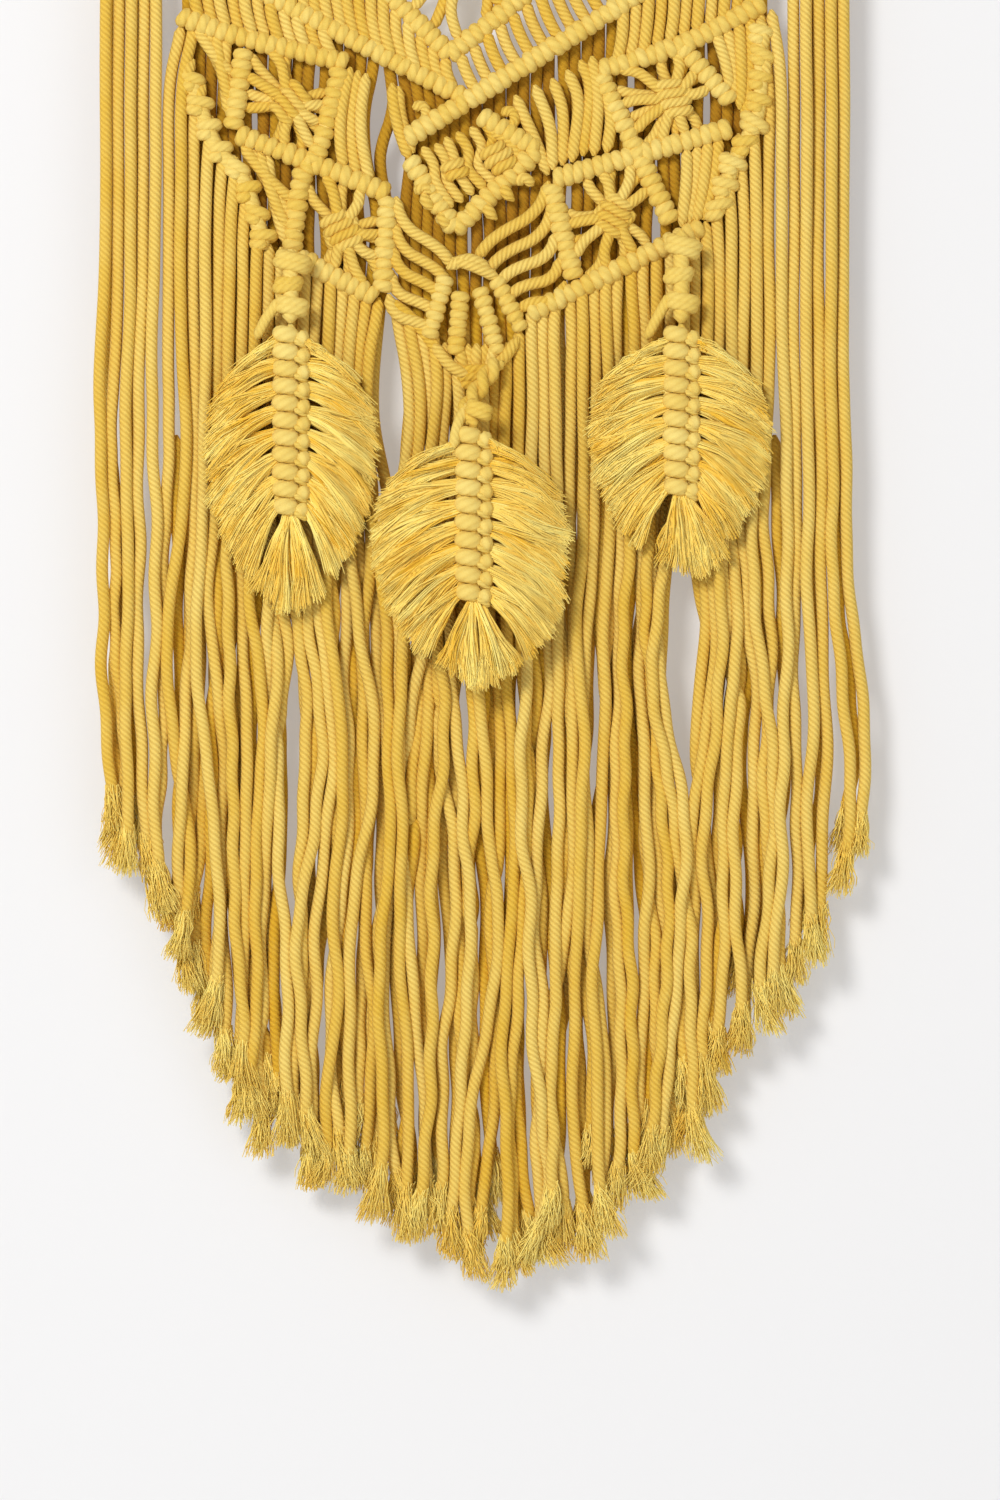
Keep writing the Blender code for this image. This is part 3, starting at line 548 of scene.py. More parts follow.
CUT_LINE = [
    (-122, 424), (-106, 440), (-98, 460), (-90, 478), (-82, 500), (-74, 519), (-56, 531), (-38, 542), (-21, 553),
    (0, 564), (14, 567), (37, 555), (53, 544), (69, 525), (78, 506), (91, 488), (104, 473), (112, 456), (122, 428),
]
TOP_BAR = [(-119, 14.4), (119, 14.4)]
ZIGZAG_UPPER = [(-94, 80), (-48, 39), (0, 80), (48, 39), (94, 80)]
ZIGZAG_LOWER = [(-94, 90.6), (-48, 130), (0, 90.6), (48, 130), (94, 90.6)]
INNER_CHEVRON = [(-46, 140), (-8, 177.4), (42, 138)]
LONG_RIGHT = [(92, 133.6), (-21.8, 204.2)]
LONG_LEFT = [(-92, 145), (-4, 190.8)]
CENTER_DIAMOND = [(1.8, 197), (19.8, 208), (-6.5, 233.5), (-21, 211)]
LEFT_UPPER_RAIL = [(-94.7, 165), (-75, 171.8), (-41, 180)]
LEFT_LONG_SIDE = [(-43, 182), (-50, 208), (-55.5, 217), (-58.5, 240)]
LEFT_MIDDLE_RAIL = [(-75.8, 203), (-53.4, 211.5), (-28, 221.8)]
LEFT_UPPER_SIDE = [(-74, 176), (-77.4, 201)]
LEFT_LOWER_SIDE = [(-28, 223), (-29.4, 253)]
LEFT_LOWER_RAIL = [(-60, 241), (-32, 255)]
LEFT_CHAIN = [(-92, 182), (-86, 200), (-81.5, 209), (-74, 218), (-67, 240)]
RIGHT_UPPER_RAIL = [(92.2, 161), (67, 173.8), (40, 182.5)]
RIGHT_LONG_SIDE = [(40, 184), (62.7, 231)]
RIGHT_MIDDLE_RAIL = [(81.6, 201), (53.8, 209), (25.3, 217.3)]
RIGHT_UPPER_SIDE = [(66, 175), (82.2, 192.6)]
RIGHT_LOWER_SIDE = [(24.3, 219.5), (31.7, 249)]
RIGHT_LOWER_RAIL = [(72.6, 232.6), (17, 260.5)]
RIGHT_CHAIN = [(91.8, 167), (90.5, 196), (83, 212), (77, 230)]
LEFT_TIP_BARS = [[(-9.3, 248.3), (-14.7, 268)], [(-4.6, 253.8), (-6.2, 273.4)]]
RIGHT_TIP_BARS = [[(1.4, 252.2), (7.4, 273.4)], [(6.8, 249.3), (14.9, 265.6)]]
SIDE_BARS = [
    LEFT_UPPER_RAIL, LEFT_LONG_SIDE, LEFT_MIDDLE_RAIL, LEFT_UPPER_SIDE, LEFT_LOWER_SIDE, LEFT_LOWER_RAIL,
    RIGHT_UPPER_RAIL, RIGHT_LONG_SIDE, RIGHT_MIDDLE_RAIL, RIGHT_UPPER_SIDE, RIGHT_LOWER_SIDE, RIGHT_LOWER_RAIL,
]
LINES = [
    TOP_BAR, ZIGZAG_UPPER, ZIGZAG_LOWER, INNER_CHEVRON, LONG_RIGHT, LONG_LEFT, CENTER_DIAMOND, *SIDE_BARS,
    LEFT_CHAIN, RIGHT_CHAIN,
]


def below_lines(x, lines, start):
    """The depth of the lowest of the lines at x."""
    best = start
    for line in lines:
        for a, b in zip(line[:-1], line[1:]):
            low, high = sorted((a[0], b[0]))
            if low - 2.5 <= x <= high + 2.5:
                share = min(1.0, max(0.0, (x - a[0]) / (b[0] - a[0]) if b[0] != a[0] else 0.5))
                best = max(best, a[1] + (b[1] - a[1]) * share)
    return best


def above_lines(x, lines, end):
    return -below_lines(x, [[(px, -depth) for px, depth in line] for line in lines], -end)


# ---------------------------------------------------------------- dowel, lark's heads and hanging cord


def make_top():
    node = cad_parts["dowel"]
    node.data.materials.clear()
    node.data.materials.append(wood)

    yarn = Yarn()
    dowel = (dowel_high.z - dowel_low.z) / 2 / MM
    reach = dowel + CORD + 0.3
    for i in range(30):
        middle = (i - 14.5) * 2 * PITCH
        tone = rng.uniform(-1, 1)
        for side in (-1, 1):
            x = middle + side * 1.95
            line = [(x, 14.0, -3.0), (x, 8.5, -reach + 1.2)]
            for k in range(9):
                turn = math.radians(200 - k * 30)
                line.append((x, reach * -math.sin(turn), reach * math.cos(turn)))
            line.append((x * 0.6 + middle * 0.4, 9.5, 1.0))
            yarn.cord(smooth(line, 1.6), CORD, 8, shade=tone)
        over = [(middle - 3.4, 6.5, -reach + 2.5), (middle - 2.6, 3.4, -reach - 1.1), (middle, 2.4, -reach - 2.2),
                (middle + 2.6, 3.4, -reach - 1.1), (middle + 3.4, 6.5, -reach + 2.5)]
        yarn.cord(smooth(over, 1.2), 1.7, 8, shade=tone)
    heads = yarn.object("larks_heads", cotton)
    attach(heads, "panel")
    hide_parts("larks_head_row")

    hanger = Yarn()
    low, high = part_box("hanging_cord")
    thick = 2.2
    loop = dowel + 0.3 + thick
    loop_x = (high.x - low.x) / 2 / MM - thick
    rise = depth_of(0.0)
    peak = rise - thick
    route = smooth([(-loop_x, -loop, 0), (-loop_x * 0.5, (-loop + peak) / 2, 0), (-6, peak + 3.5, 0), (0, peak, 0),
                    (6, peak + 3.5, 0), (loop_x * 0.5, (-loop + peak) / 2, 0), (loop_x, -loop, 0)], 2.0)
    hanger.cord(route, thick)
    cord = hanger.object("hanging_line", cotton)
    loops = Yarn()
    for side in (-1, 1):
        line = []
        for k in range(28):
            turn = math.radians(-90 + k * 30)
            line.append((side * (loop_x - 1.8 + 4.4 * k / 27), loop * math.sin(turn), loop * math.cos(turn)))
        loops.cord(smooth(line, 1.5), thick, 8)
    knots = loops.object("hanging_line_loops", cotton)
    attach(cord, "hanger")
    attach(knots, "hanger")
    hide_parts("hanging_cord")


# ---------------------------------------------------------------- the knotted panel


def make_panel():
    bars = Yarn()
    for line in (TOP_BAR, ZIGZAG_UPPER, ZIGZAG_LOWER, INNER_CHEVRON):
        for a, b in zip(line[:-1], line[1:]):
            wound(bars, [a, b])
    upper = bars.object("upper_hitch_bars", knotted)
    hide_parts("top_hitch_bar", "zigzag_upper", "zigzag_lower", "inner_chevron")
    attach(upper, "panel")

    bars = Yarn()
    wound(bars, LONG_LEFT, y=0.4)
    wound(bars, LONG_RIGHT, y=-0.6)
    for a, b in zip(CENTER_DIAMOND[:-1], CENTER_DIAMOND[1:]):
        wound(bars, [a, b])
    for line in SIDE_BARS:
        wound(bars, line)
    for line in LEFT_TIP_BARS + RIGHT_TIP_BARS:
        wound(bars, line, core=1.15, cord=1.85, spacing=3.0, y=-0.8)
    for line in (LEFT_CHAIN, RIGHT_CHAIN):
        knot_row(bars, line)
    lower = bars.object("lower_hitch_bars", knotted)
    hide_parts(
        "left_long_diagonal", "right_long_diagonal", "center_diamond", "left_upper_rail", "left_cross_bars",
        "left_upper_side", "left_lower_side", "left_lower_rail", "right_upper_rail", "right_cross_bars",
        "right_upper_side", "right_lower_side", "right_lower_rail", "left_tip_bars", "right_tip_bars", "left_chain",
        "right_chain")
    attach(lower, "panel")

    cells = Yarn()
    for i in range(-23, 24):
        x = i * PITCH
        end = above_lines(x, [ZIGZAG_UPPER], 200.0)
        points = [(x, 14.0), (x + rng.uniform(-0.5, 0.5), (14 + end) / 2), (x, end)]
        strand(cells, points, y=rng.uniform(-0.4, 0.4))
    for x in (-47, 47):
        flower(cells, (x, 85), [(5, 175), (185, 355)], 0.0, size=8.0, spacing=15.5, bands=5, start=5.0)
    flower(cells, (-3, 141), [(-170, 170)], 0.0, size=7.5, spacing=17, bands=4, start=5.0)
    above = [ZIGZAG_LOWER, INNER_CHEVRON]
    for i in range(-23, 24):
        x = i * PITCH
        start = below_lines(x, above, 0.0)
        if x < -6:
            end = above_lines(x, [LONG_LEFT], 260.0)
            strand(cells, [(x - 1.5, start), (x - 1.0, (start + end) / 2), (x + 1.5, end + 0.5)],
                   y=rng.uniform(-0.5, 0.5))
        elif x > 44:
            end = above_lines(x, [LONG_RIGHT], 260.0)
            if end - start > 4:
                points = [(x - 1, start), (x, (start + end) / 2), (x + 1, end)]
                strand(cells, points, y=rng.uniform(-0.5, 0.5))
    fan(cells, [(-7, 178), (43, 138)], [(-1, 192), (52, 158)], 12, bow=-0.8)
    fan(cells, [(45.5, 163), (90, 136)], [(43, 182), (90, 163)], 11, bow=0.6)
    fan(cells, [(-93, 146), (-47, 169)], [(-90, 167), (-43, 179)], 11, bow=-0.6)
    upper_cells = cells.object("upper_cell_strands", cotton)
    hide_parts("top_strands", "upper_left_flower", "upper_right_flower", "center_flower",
                "left_shoulder_strands", "right_shoulder_strands")
    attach(upper_cells, "panel")

    cells = Yarn()
    # Left of the middle.
    fan(cells, [(-41, 181), (-33.5, 184)], [(-44, 213), (-31.5, 220)], 3, bow=-2.2)
    fan(cells, [(-27.5, 186), (-23.5, 188)], [(-21.5, 212), (-19.0, 208)], 2, bow=-1.4, y=0.8)
    # Right of the middle.
    for points in (
        [(12.8, 190.4), (19.2, 204.8), (23.4, 216)], [(19, 187.2), (24, 201), (25, 214.4)],
        [(24.6, 185), (28.2, 196), (28, 213)], [(29.4, 182.4), (33, 193), (31, 212)],
        [(33.6, 179.2), (36.8, 189), (34.5, 210)], [(37.4, 178), (39.4, 193), (38, 210)],
        [(40, 183), (43.5, 197), (42, 209)],
    ):
        strand(cells, points, y=rng.uniform(-0.7, 0.7), wave=0.1)
    # Between the outer knots and the bars beside them.
    fan(cells, [(-91, 168), (-78, 172)], [(-77, 182), (-79, 199)], 4, bow=-0.8)
    fan(cells, [(-76, 206), (-65, 210)], [(-58, 222), (-61, 240)], 4, bow=-0.8)
    fan(cells, [(75, 171), (90, 164)], [(81, 187), (87, 200)], 4, bow=0.8)
    fan(cells, [(66, 208), (80, 203)], [(65, 233), (74, 230)], 4, bow=0.6)
    # Inside the middle diamond.
    for points in (
        [(-16.8, 207), (-13.4, 212.6), (-12.6, 218.6), (-7.2, 226.5)],
        [(-12.7, 206), (-9.4, 211.5), (-9.0, 217.6), (-4.0, 224.8)],
        [(-9.4, 203.8), (-6.9, 209.7), (-5.6, 214.7), (-0.6, 222.4)],
        [(-5.8, 202.3), (-2.0, 208.2), (-2.4, 214.0), (3.4, 220.6)],
        [(-1.4, 200.6), (2.4, 206.7), (1.0, 212.7), (6.8, 219.0)],
        [(2.6, 198.6), (6.0, 204.0), (4.6, 209.7), (9.9, 216.6)],
        [(4.6, 202.0), (9.6, 204.6), (13.0, 208.6), (14.8, 212.6)],
    ):
        strand(cells, points, CORD * 0.9, y=rng.uniform(-0.6, 0.2), step=1.6)
    cross_knot(cells, (7.6, 210.6), math.radians(-38), 4.6, y=-2.8)
    cross_knot(cells, (-6.4, 214.4), math.radians(-30), 3.6, y=-2.4, bands=2)
    # Small loops round the diamond.
    for points in (
        [(8.4, 196.6), (11.4, 195.4), (12.8, 198.4), (10.2, 201.4)],
        [(-20.0, 194.6), (-16.8, 193.8), (-15.6, 197.2), (-18.4, 201.0)],
        [(-19.0, 222.0, -0.5), (-16.4, 219.6, -2.0), (-13.6, 222.6, -0.5)],
        [(13.4, 219.2, -0.5), (15.6, 216.8, -2.0), (18.6, 219.4, -0.5)],
    ):
        strand(cells, points, CORD * 0.9, wave=0.0, step=1.2)
    for x, depth in ((-14.5, 226), (-9, 232), (11, 223), (5.5, 229)):
        points = [(x - 2.2, depth - 4.5, -1), (x - 1.0, depth - 1, -2.4), (x + 1.4, depth + 1.2, -1)]
        strand(cells, points, wave=0.0)
    # The four small flowers.
    for centre, spans, turn in (
        ((-59, 193), [(-175, -85), (-25, 120), (165, 185)], 40),
        ((-42.6, 234), [(-135, -60), (-25, 125)], -35),
        ((63.5, 191.5), [(-115, -10), (45, 215)], -20),
        ((44.5, 229), [(-135, -30), (35, 195)], 20),
    ):
        flower(cells, centre, spans, math.radians(turn), size=5.6, spacing=17, bands=4)
    # The fans that gather into the tip.
    fan(cells, [(-25, 219), (-28, 258)], [(-6, 243), (-13.5, 270)], 5, bow=-2.2, sway=-1.6, y=-0.4)
    fan(cells, [(23, 214), (29.5, 254)], [(-1.5, 241), (15.5, 262)], 5, bow=2.0, sway=1.8, y=-0.4)
    strand(cells, [(-28, 256), (-20, 262), (-13, 271), (-7, 277)], wave=0.1)
    strand(cells, [(-9, 246, -1.5), (-2, 243, -2.6), (5, 246.5, -1.8)], wave=0.0)
    strand(cells, [(-7.5, 243, -2.0), (0, 245.5, -3.0), (7.5, 249, -1.6)], wave=0.0)
    fan(cells, [(-7, 270), (8, 270)], [(-4, 279), (5, 279)], 5, y=-0.6)
    strand(cells, [(-13.5, 270, -1), (-8, 277, -1.8), (-1, 281, -2)], wave=0.0)
    strand(cells, [(14, 268, -1), (9, 275, -1.8), (2, 281, -2)], wave=0.0)
    lump(cells, (0.6, 280.0), 15.0, 9.0, turns=2.5, tilt=-0.12, depth_share=0.42)
    for x, depth in ((-90, 186), (-86.5, 194), (90.5, 173), (91, 183)):
        side = -1 if x < 0 else 1
        points = [(x, depth - 7, 0), (x + side * 2, depth - 2, -1.2), (x + side * 1.0, depth + 5, 0)]
        strand(cells, points, wave=0.1)
    lower_cells = cells.object("lower_cell_strands", cotton)
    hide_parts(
        "left_inner_strands", "right_inner_strands", "center_diamond_strands", "left_fan", "right_fan",
        "left_upper_flower", "left_lower_flower", "right_upper_flower", "right_lower_flower", "tip_knot")
    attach(lower_cells, "panel")


# ---------------------------------------------------------------- the fringe

# Where strands part and the wall shows: x, depth, half height and how far the strands are pushed aside.
PARTINGS = [
    (-27.6, 284, 34, 6.0), (29.4, 264, 14, 1.6), (46.4, 266, 15, 1.5), (58.0, 250, 12, 1.8), (67.2, 364, 44, 6.2),
    (-58.4, 398, 50, 2.8), (-17.6, 455, 20, 2.0), (50.0, 455, 26, 2.6), (33.0, 505, 22, 1.8), (80.0, 440, 20, 1.6),
    (-30.5, 194, 11, 6.0), (-26.0, 209, 12, 6.0), (-1.6, 237, 5, 2.4), (22.4, 192, 8, 1.2), (28.0, 190, 8, 1.2),
    (-40.0, 505, 18, 1.4),
    # Holes beside the small flowers.
    (73.3, 195, 8, 2.4), (56.0, 232, 8, 2.4), (48.0, 187, 8, 2.4), (29.8, 224, 8, 2.4),
    (-49.6, 187, 8, 2.4), (-70.7, 198, 8, 2.4), (-51.8, 238, 8, 2.4), (-33.3, 227, 8, 2.4),
]


def cut_depth(x):
    xs, depths = zip(*CUT_LINE)
    return float(np.interp(x, xs, depths)) + 4.0 * math.sin(x * 2.1) * math.cos(x * 0.73)


def strand_start(x, behind):
    """Where a strand leaves the panel, as (x, depth)."""
    if abs(x) > 100:
        return x, 15.0
    if behind:
        return x, above_lines(x, [LONG_LEFT, LONG_RIGHT], 300.0) - 1.0
    lower = [LEFT_CHAIN, LEFT_LOWER_RAIL, LEFT_MIDDLE_RAIL, LEFT_UPPER_RAIL, RIGHT_CHAIN, RIGHT_LOWER_RAIL,
             RIGHT_UPPER_RAIL, [(-33, 255), (-14, 268), (-5, 276), (6, 276), (15, 266), (18, 260)]]
    depth = below_lines(x, lower, 0.0)
    if x < -91:
        return x + 5.0, 168.0
    if x > 91:
        return x - 4.0, 163.0
    if x < -66:
        return x + 2.0, depth - 3.0
    if x > 76:
        return x - 2.0, depth - 3.0
    return x, depth - 2.0


FRINGE_CORD = 1.93


def laid_strands():
    """Every fringe strand's line, front row first, after strands that touch have pushed each other aside."""
    front = [PITCH * (i - 29.5) for i in range(60)]
    back = [PITCH * i + 0.4 * math.sin(i * 3.0) for i in range(-24, 25)]
    back += [-115.0, -107.5, 107.5, 115.0]
    xs = np.array(front + back)
    behind = np.array([False] * len(front) + [True] * len(back))
    levels = np.arange(12.0, 574.0, 6.0)
    starts = [strand_start(x, b) for x, b in zip(xs, behind)]
    short = [rng.uniform(0, 22) if b else rng.uniform(-5, 5) for b in behind]
    ends = np.array([cut_depth(x) for x in xs]) - short
    live = np.array([[s[1] - 6 < d < e + 6 for d in levels] for s, e in zip(starts, ends)])
    goal = np.zeros((len(xs), len(levels), 2))
    for i, x in enumerate(xs):
        phase = noise.random(6) * 6.3
        pace = noise.uniform(0.75, 1.3, 4)
        size = noise.uniform(0.6, 1.5, 3)
        grow = np.clip((levels - 190) / 160, 0.15, 1.0)
        late = np.clip((levels - 250) / 140, 0, 1) * (0.5 if abs(x) > 100 else 1.0)
        place = x + grow * (0.8 * size[0] * np.sin(levels / 15 * pace[0] + phase[0])
                            + 0.5 * size[1] * np.sin(levels / 8.0 * pace[1] + phase[1]))
        place = place + 2.6 * size[2] * late * np.sin(levels / 44 * pace[2] + phase[2])
        place = place + 1.3 * size[0] * late * np.sin(levels / 23 * pace[3] + phase[4])
        for px, depth, half, push in PARTINGS:
            away = x - px
            place = place + (push * np.sign(away) * np.exp(-((levels - depth) / half) ** 2 * 1.4)
                             * np.exp(-abs(away) / 15.0))
        if x > 100:
            place = place + (x - 98) / 20 * 6.5 * np.exp(-((levels - 400) / 40) ** 2)
        if x < -100:
            place = place - 1.5 * np.exp(-((levels - 300) / 50) ** 2)
        lead = np.clip((levels - starts[i][1]) / 16.0, 0, 1)
        lead = lead * lead * (3 - 2 * lead)
        goal[i, :, 0] = starts[i][0] + (place - starts[i][0]) * lead
        if behind[i]:
            goal[i, :, 1] = (4.9 - 1.4 * np.clip((levels - 280) / 60, 0, 1)
                             + (0.4 + 1.2 * late) * np.sin(levels / 34 + phase[3]))
        else:
            row = (1.0 if i % 2 else -1.0) * 0.9 + 1.3 * late * np.sin(levels / 60 * pace[1] + phase[5])
            goal[i, :, 1] = row * lead + 1.2 * (1 - lead) + 0.6 * np.sin(levels / 26 * pace[3] + phase[3])
    order = np.argsort(xs, kind="stable")
    spot, goal, live = goal[order].copy(), goal[order], live[order]
    gap = 2 * FRINGE_CORD * 0.96
    for _ in range(70):
        move = np.zeros_like(spot)
        for reach in range(1, 8):
            apart = spot[reach:] - spot[:-reach]
            length = np.maximum(np.linalg.norm(apart, axis=2), 1e-6)
            lack = np.clip(gap - length, 0, None) * (live[reach:] & live[:-reach])
            push = apart / length[..., None] * (lack * 0.4)[..., None]
            move[reach:] += push
            move[:-reach] -= push
        spot += move
        spot += (goal - spot) * np.array([0.04, 0.03])
        soft = spot.copy()
        soft[:, 1:-1] = 0.5 * spot[:, 1:-1] + 0.25 * (spot[:, 2:] + spot[:, :-2])
        spot = spot * 0.75 + soft * 0.25
        spot[..., 1] = np.clip(spot[..., 1], -4.6, 7.5)
    lines = [None] * len(xs)
    for row, i in enumerate(order):
        end = ends[i] - 11.5
        inside = (levels > starts[i][1] + 1) & (levels < end - 1)
        depths = np.concatenate([[starts[i][1]], levels[inside], [end]])
        places = np.column_stack([np.interp(depths, levels, spot[row, :, k]) for k in (0, 1)])
        line = smooth(np.column_stack([places[:, 0], depths, places[:, 1]]), 2.5)
        crimp = np.clip((line[:, 1] - 270) / 90, 0, 1) * noise.uniform(0.1, 0.55)
        pace, phase = 2 * math.pi / noise.uniform(19, 38), noise.random(2) * 6.3
        line[:, 0] += crimp * np.sin(line[:, 1] * pace + phase[0])
        line[:, 2] += 0.7 * crimp * np.sin(line[:, 1] * pace * 0.8 + phase[1])
        lines[i] = line
    return xs, lines, len(front)


def frayed_end(yarn, line, count=120, length=13.5, spread=5.1, fibre=0.22):
    """A brush of loose fibres that opens out from the end of a cord."""
    end = line[-1]
    ahead = line[-1] - line[-3]
    ahead /= np.linalg.norm(ahead)
    lean = noise.normal(0, 0.20, 2)
    size = noise.uniform(0.8, 1.15)
    t = np.linspace(0, 1, 6)
    lines, radii, shades = [], [], []
    tone = noise.uniform(-0.3, 0.9)
    for _ in range(count):
        turn, far = noise.random() * 2 * math.pi, math.sqrt(noise.random())
        reach = length * size * noise.uniform(0.66, 1.06) * (1.0 - 0.12 * far)
        x0, y0 = far * 2.1 * math.cos(turn), far * 2.1 * math.sin(turn)
        x1 = far * spread * size * math.cos(turn) + lean[0] * reach + noise.normal(0, 0.45)
        y1 = far * spread * 0.7 * math.sin(turn) + lean[1] * reach * 0.4 + noise.normal(0, 0.3)
        wave = noise.normal(0, 0.7)
        ease = t**1.5
        x = x0 + (x1 - x0) * ease + wave * np.sin(t * 6 + turn)
        y = y0 + (y1 - y0) * ease + wave * 0.6 * np.sin(t * 5 + turn * 2)
        begin = noise.uniform(-5.0, -1.0)
        along = begin + (reach - begin) * t
        places = np.column_stack([end[0] + ahead[0] * along + x, end[1] + ahead[1] * along, end[2] + y])
        lines.append(at(places))
        radii.append(fibre * noise.uniform(0.75, 1.3) * (1.0 - 0.4 * t))
        shades.append(np.clip(tone + noise.normal(0, 0.35), -1.2, 1.2))
    yarn.tubes(np.array(lines), np.array(radii), 3, np.array(shades), (0.0, 1.0, 0.0))


def make_fringe():
    xs, lines, in_front = laid_strands()
    bodies = {"left": [], "center": [], "right": []}
    for i, x in enumerate(xs):
        bodies["left" if x < -28 else "right" if x > 28 else "center"].append(i)
    order = sorted(range(in_front), key=lambda i: -(lines[i][-1][1] - lines[i][0][1]))
    declared = set(order[:39])
    stands_for = {
        "left": ["outer_left_fringe", "left_fringe", "lower_left_fringe"],
        "center": ["center_fringe", "lower_center_fringe"],
        "right": ["outer_right_fringe", "right_fringe", "lower_right_fringe"],
    }
    for side, members in bodies.items():
        body = f"lower_{side}"
        others, ends_yarn = Yarn(), Yarn(blocks=True)
        first = None
        for i in members:
            line = lines[i]
            frayed_end(ends_yarn, line)
            if i not in declared:
                shade = None
                if i >= in_front:
                    # painted shade: back-row strands get a random tone kept on the dark side, and where they run
                    # behind the knotted panel, from about depth 150 to 268, a shade far below zero that turns them
                    # to the painted shadow colour
                    painted_shadow_behind_panel = np.clip((line[:, 1] - 150) / 16, 0, 1) * np.clip((268 - line[:, 1]) / 22, 0, 1)
                    shade = (rng.uniform(-2.2, 0.3) - 5.0 * painted_shadow_behind_panel)[None]
                others.cord(line, FRINGE_CORD, shade=shade)
                continue
            single = Yarn()
            single.cord(line, FRINGE_CORD)
            piece = single.object(f"fringe_strand_{i:02d}", cotton)
            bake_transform(piece)
            first = first or piece
        if others.count:
            rest = others.object(f"fringe_strands_{side}", cotton)
            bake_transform(rest)
            first = first or rest
        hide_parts(*stands_for[side])
        frayed = ends_yarn.object(f"frayed_ends_{side}", brushed, "brushed_cotton")
        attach(frayed, body)


# ---------------------------------------------------------------- the leaf pendants

# A leaf's outline: the share of the spine where a fibre starts, and where it ends as shares of the half width and
# the length.
LEAF_OUTLINE = [
    (0.00, 0.34, 0.09), (0.05, 0.55, 0.12), (0.12, 0.76, 0.18), (0.22, 0.93, 0.27), (0.38, 1.00, 0.40),
    (0.55, 0.97, 0.54), (0.70, 0.87, 0.67), (0.85, 0.70, 0.79), (1.00, 0.48, 0.87),
]


def make_spine(yarn, x, top, length, y, knots):
    """Square knots one under another: a wide bar on the left and a bead on the right."""
    pitch = length / knots
    for i in range(knots):
        depth = top + pitch * (i + 0.5)
        wide = 1.0 - 0.10 * (i == 0) - 0.14 * (i == knots - 1)
        bar = []
        for t in np.linspace(-1, 1, 9):
            bar.append((x - 1.5 + t * 2.6 * wide, depth - 0.3 + 0.4 * t + rng.uniform(-0.12, 0.12),
                        y - 1.7 + 2.4 * abs(t) ** 3))
        yarn.cord(smooth(bar, 0.9), pitch * 0.49, 12, shade=rng.uniform(0.2, 1.2))
        bead = []
        for t in np.linspace(-1, 1, 7):
            bead.append((x + 3.6 * wide + 0.5 * (1 - t * t), depth + 0.8 + pitch * 0.20 * t,
                         y - 1.3 + 0.9 * t * t))
        yarn.cord(smooth(bead, 0.8), pitch * 0.43, 10, shade=rng.uniform(0.0, 1.0))
        tuck = [(x + 1.2, depth + pitch * 0.30, y - 2.6), (x + 3.0, depth + pitch * 0.46, y - 2.2),
                (x + 5.2, depth + pitch * 0.72, y - 0.4)]
        yarn.cord(smooth(tuck, 0.8), 1.0, 8, shade=rng.uniform(-0.5, 0.5))
    for offset in (-3.8, 3.6):
        line = [(x + offset, top + 1, y + 1.0), (x + offset, top + length - 2, y + 1.0)]
        yarn.cord(smooth(line, 2.5), 1.9, 8)
    yarn.cord(smooth([(x, top - 1, y + 0.6), (x, top + length + 1, y + 0.6)], 2.5), 2.4, 8)


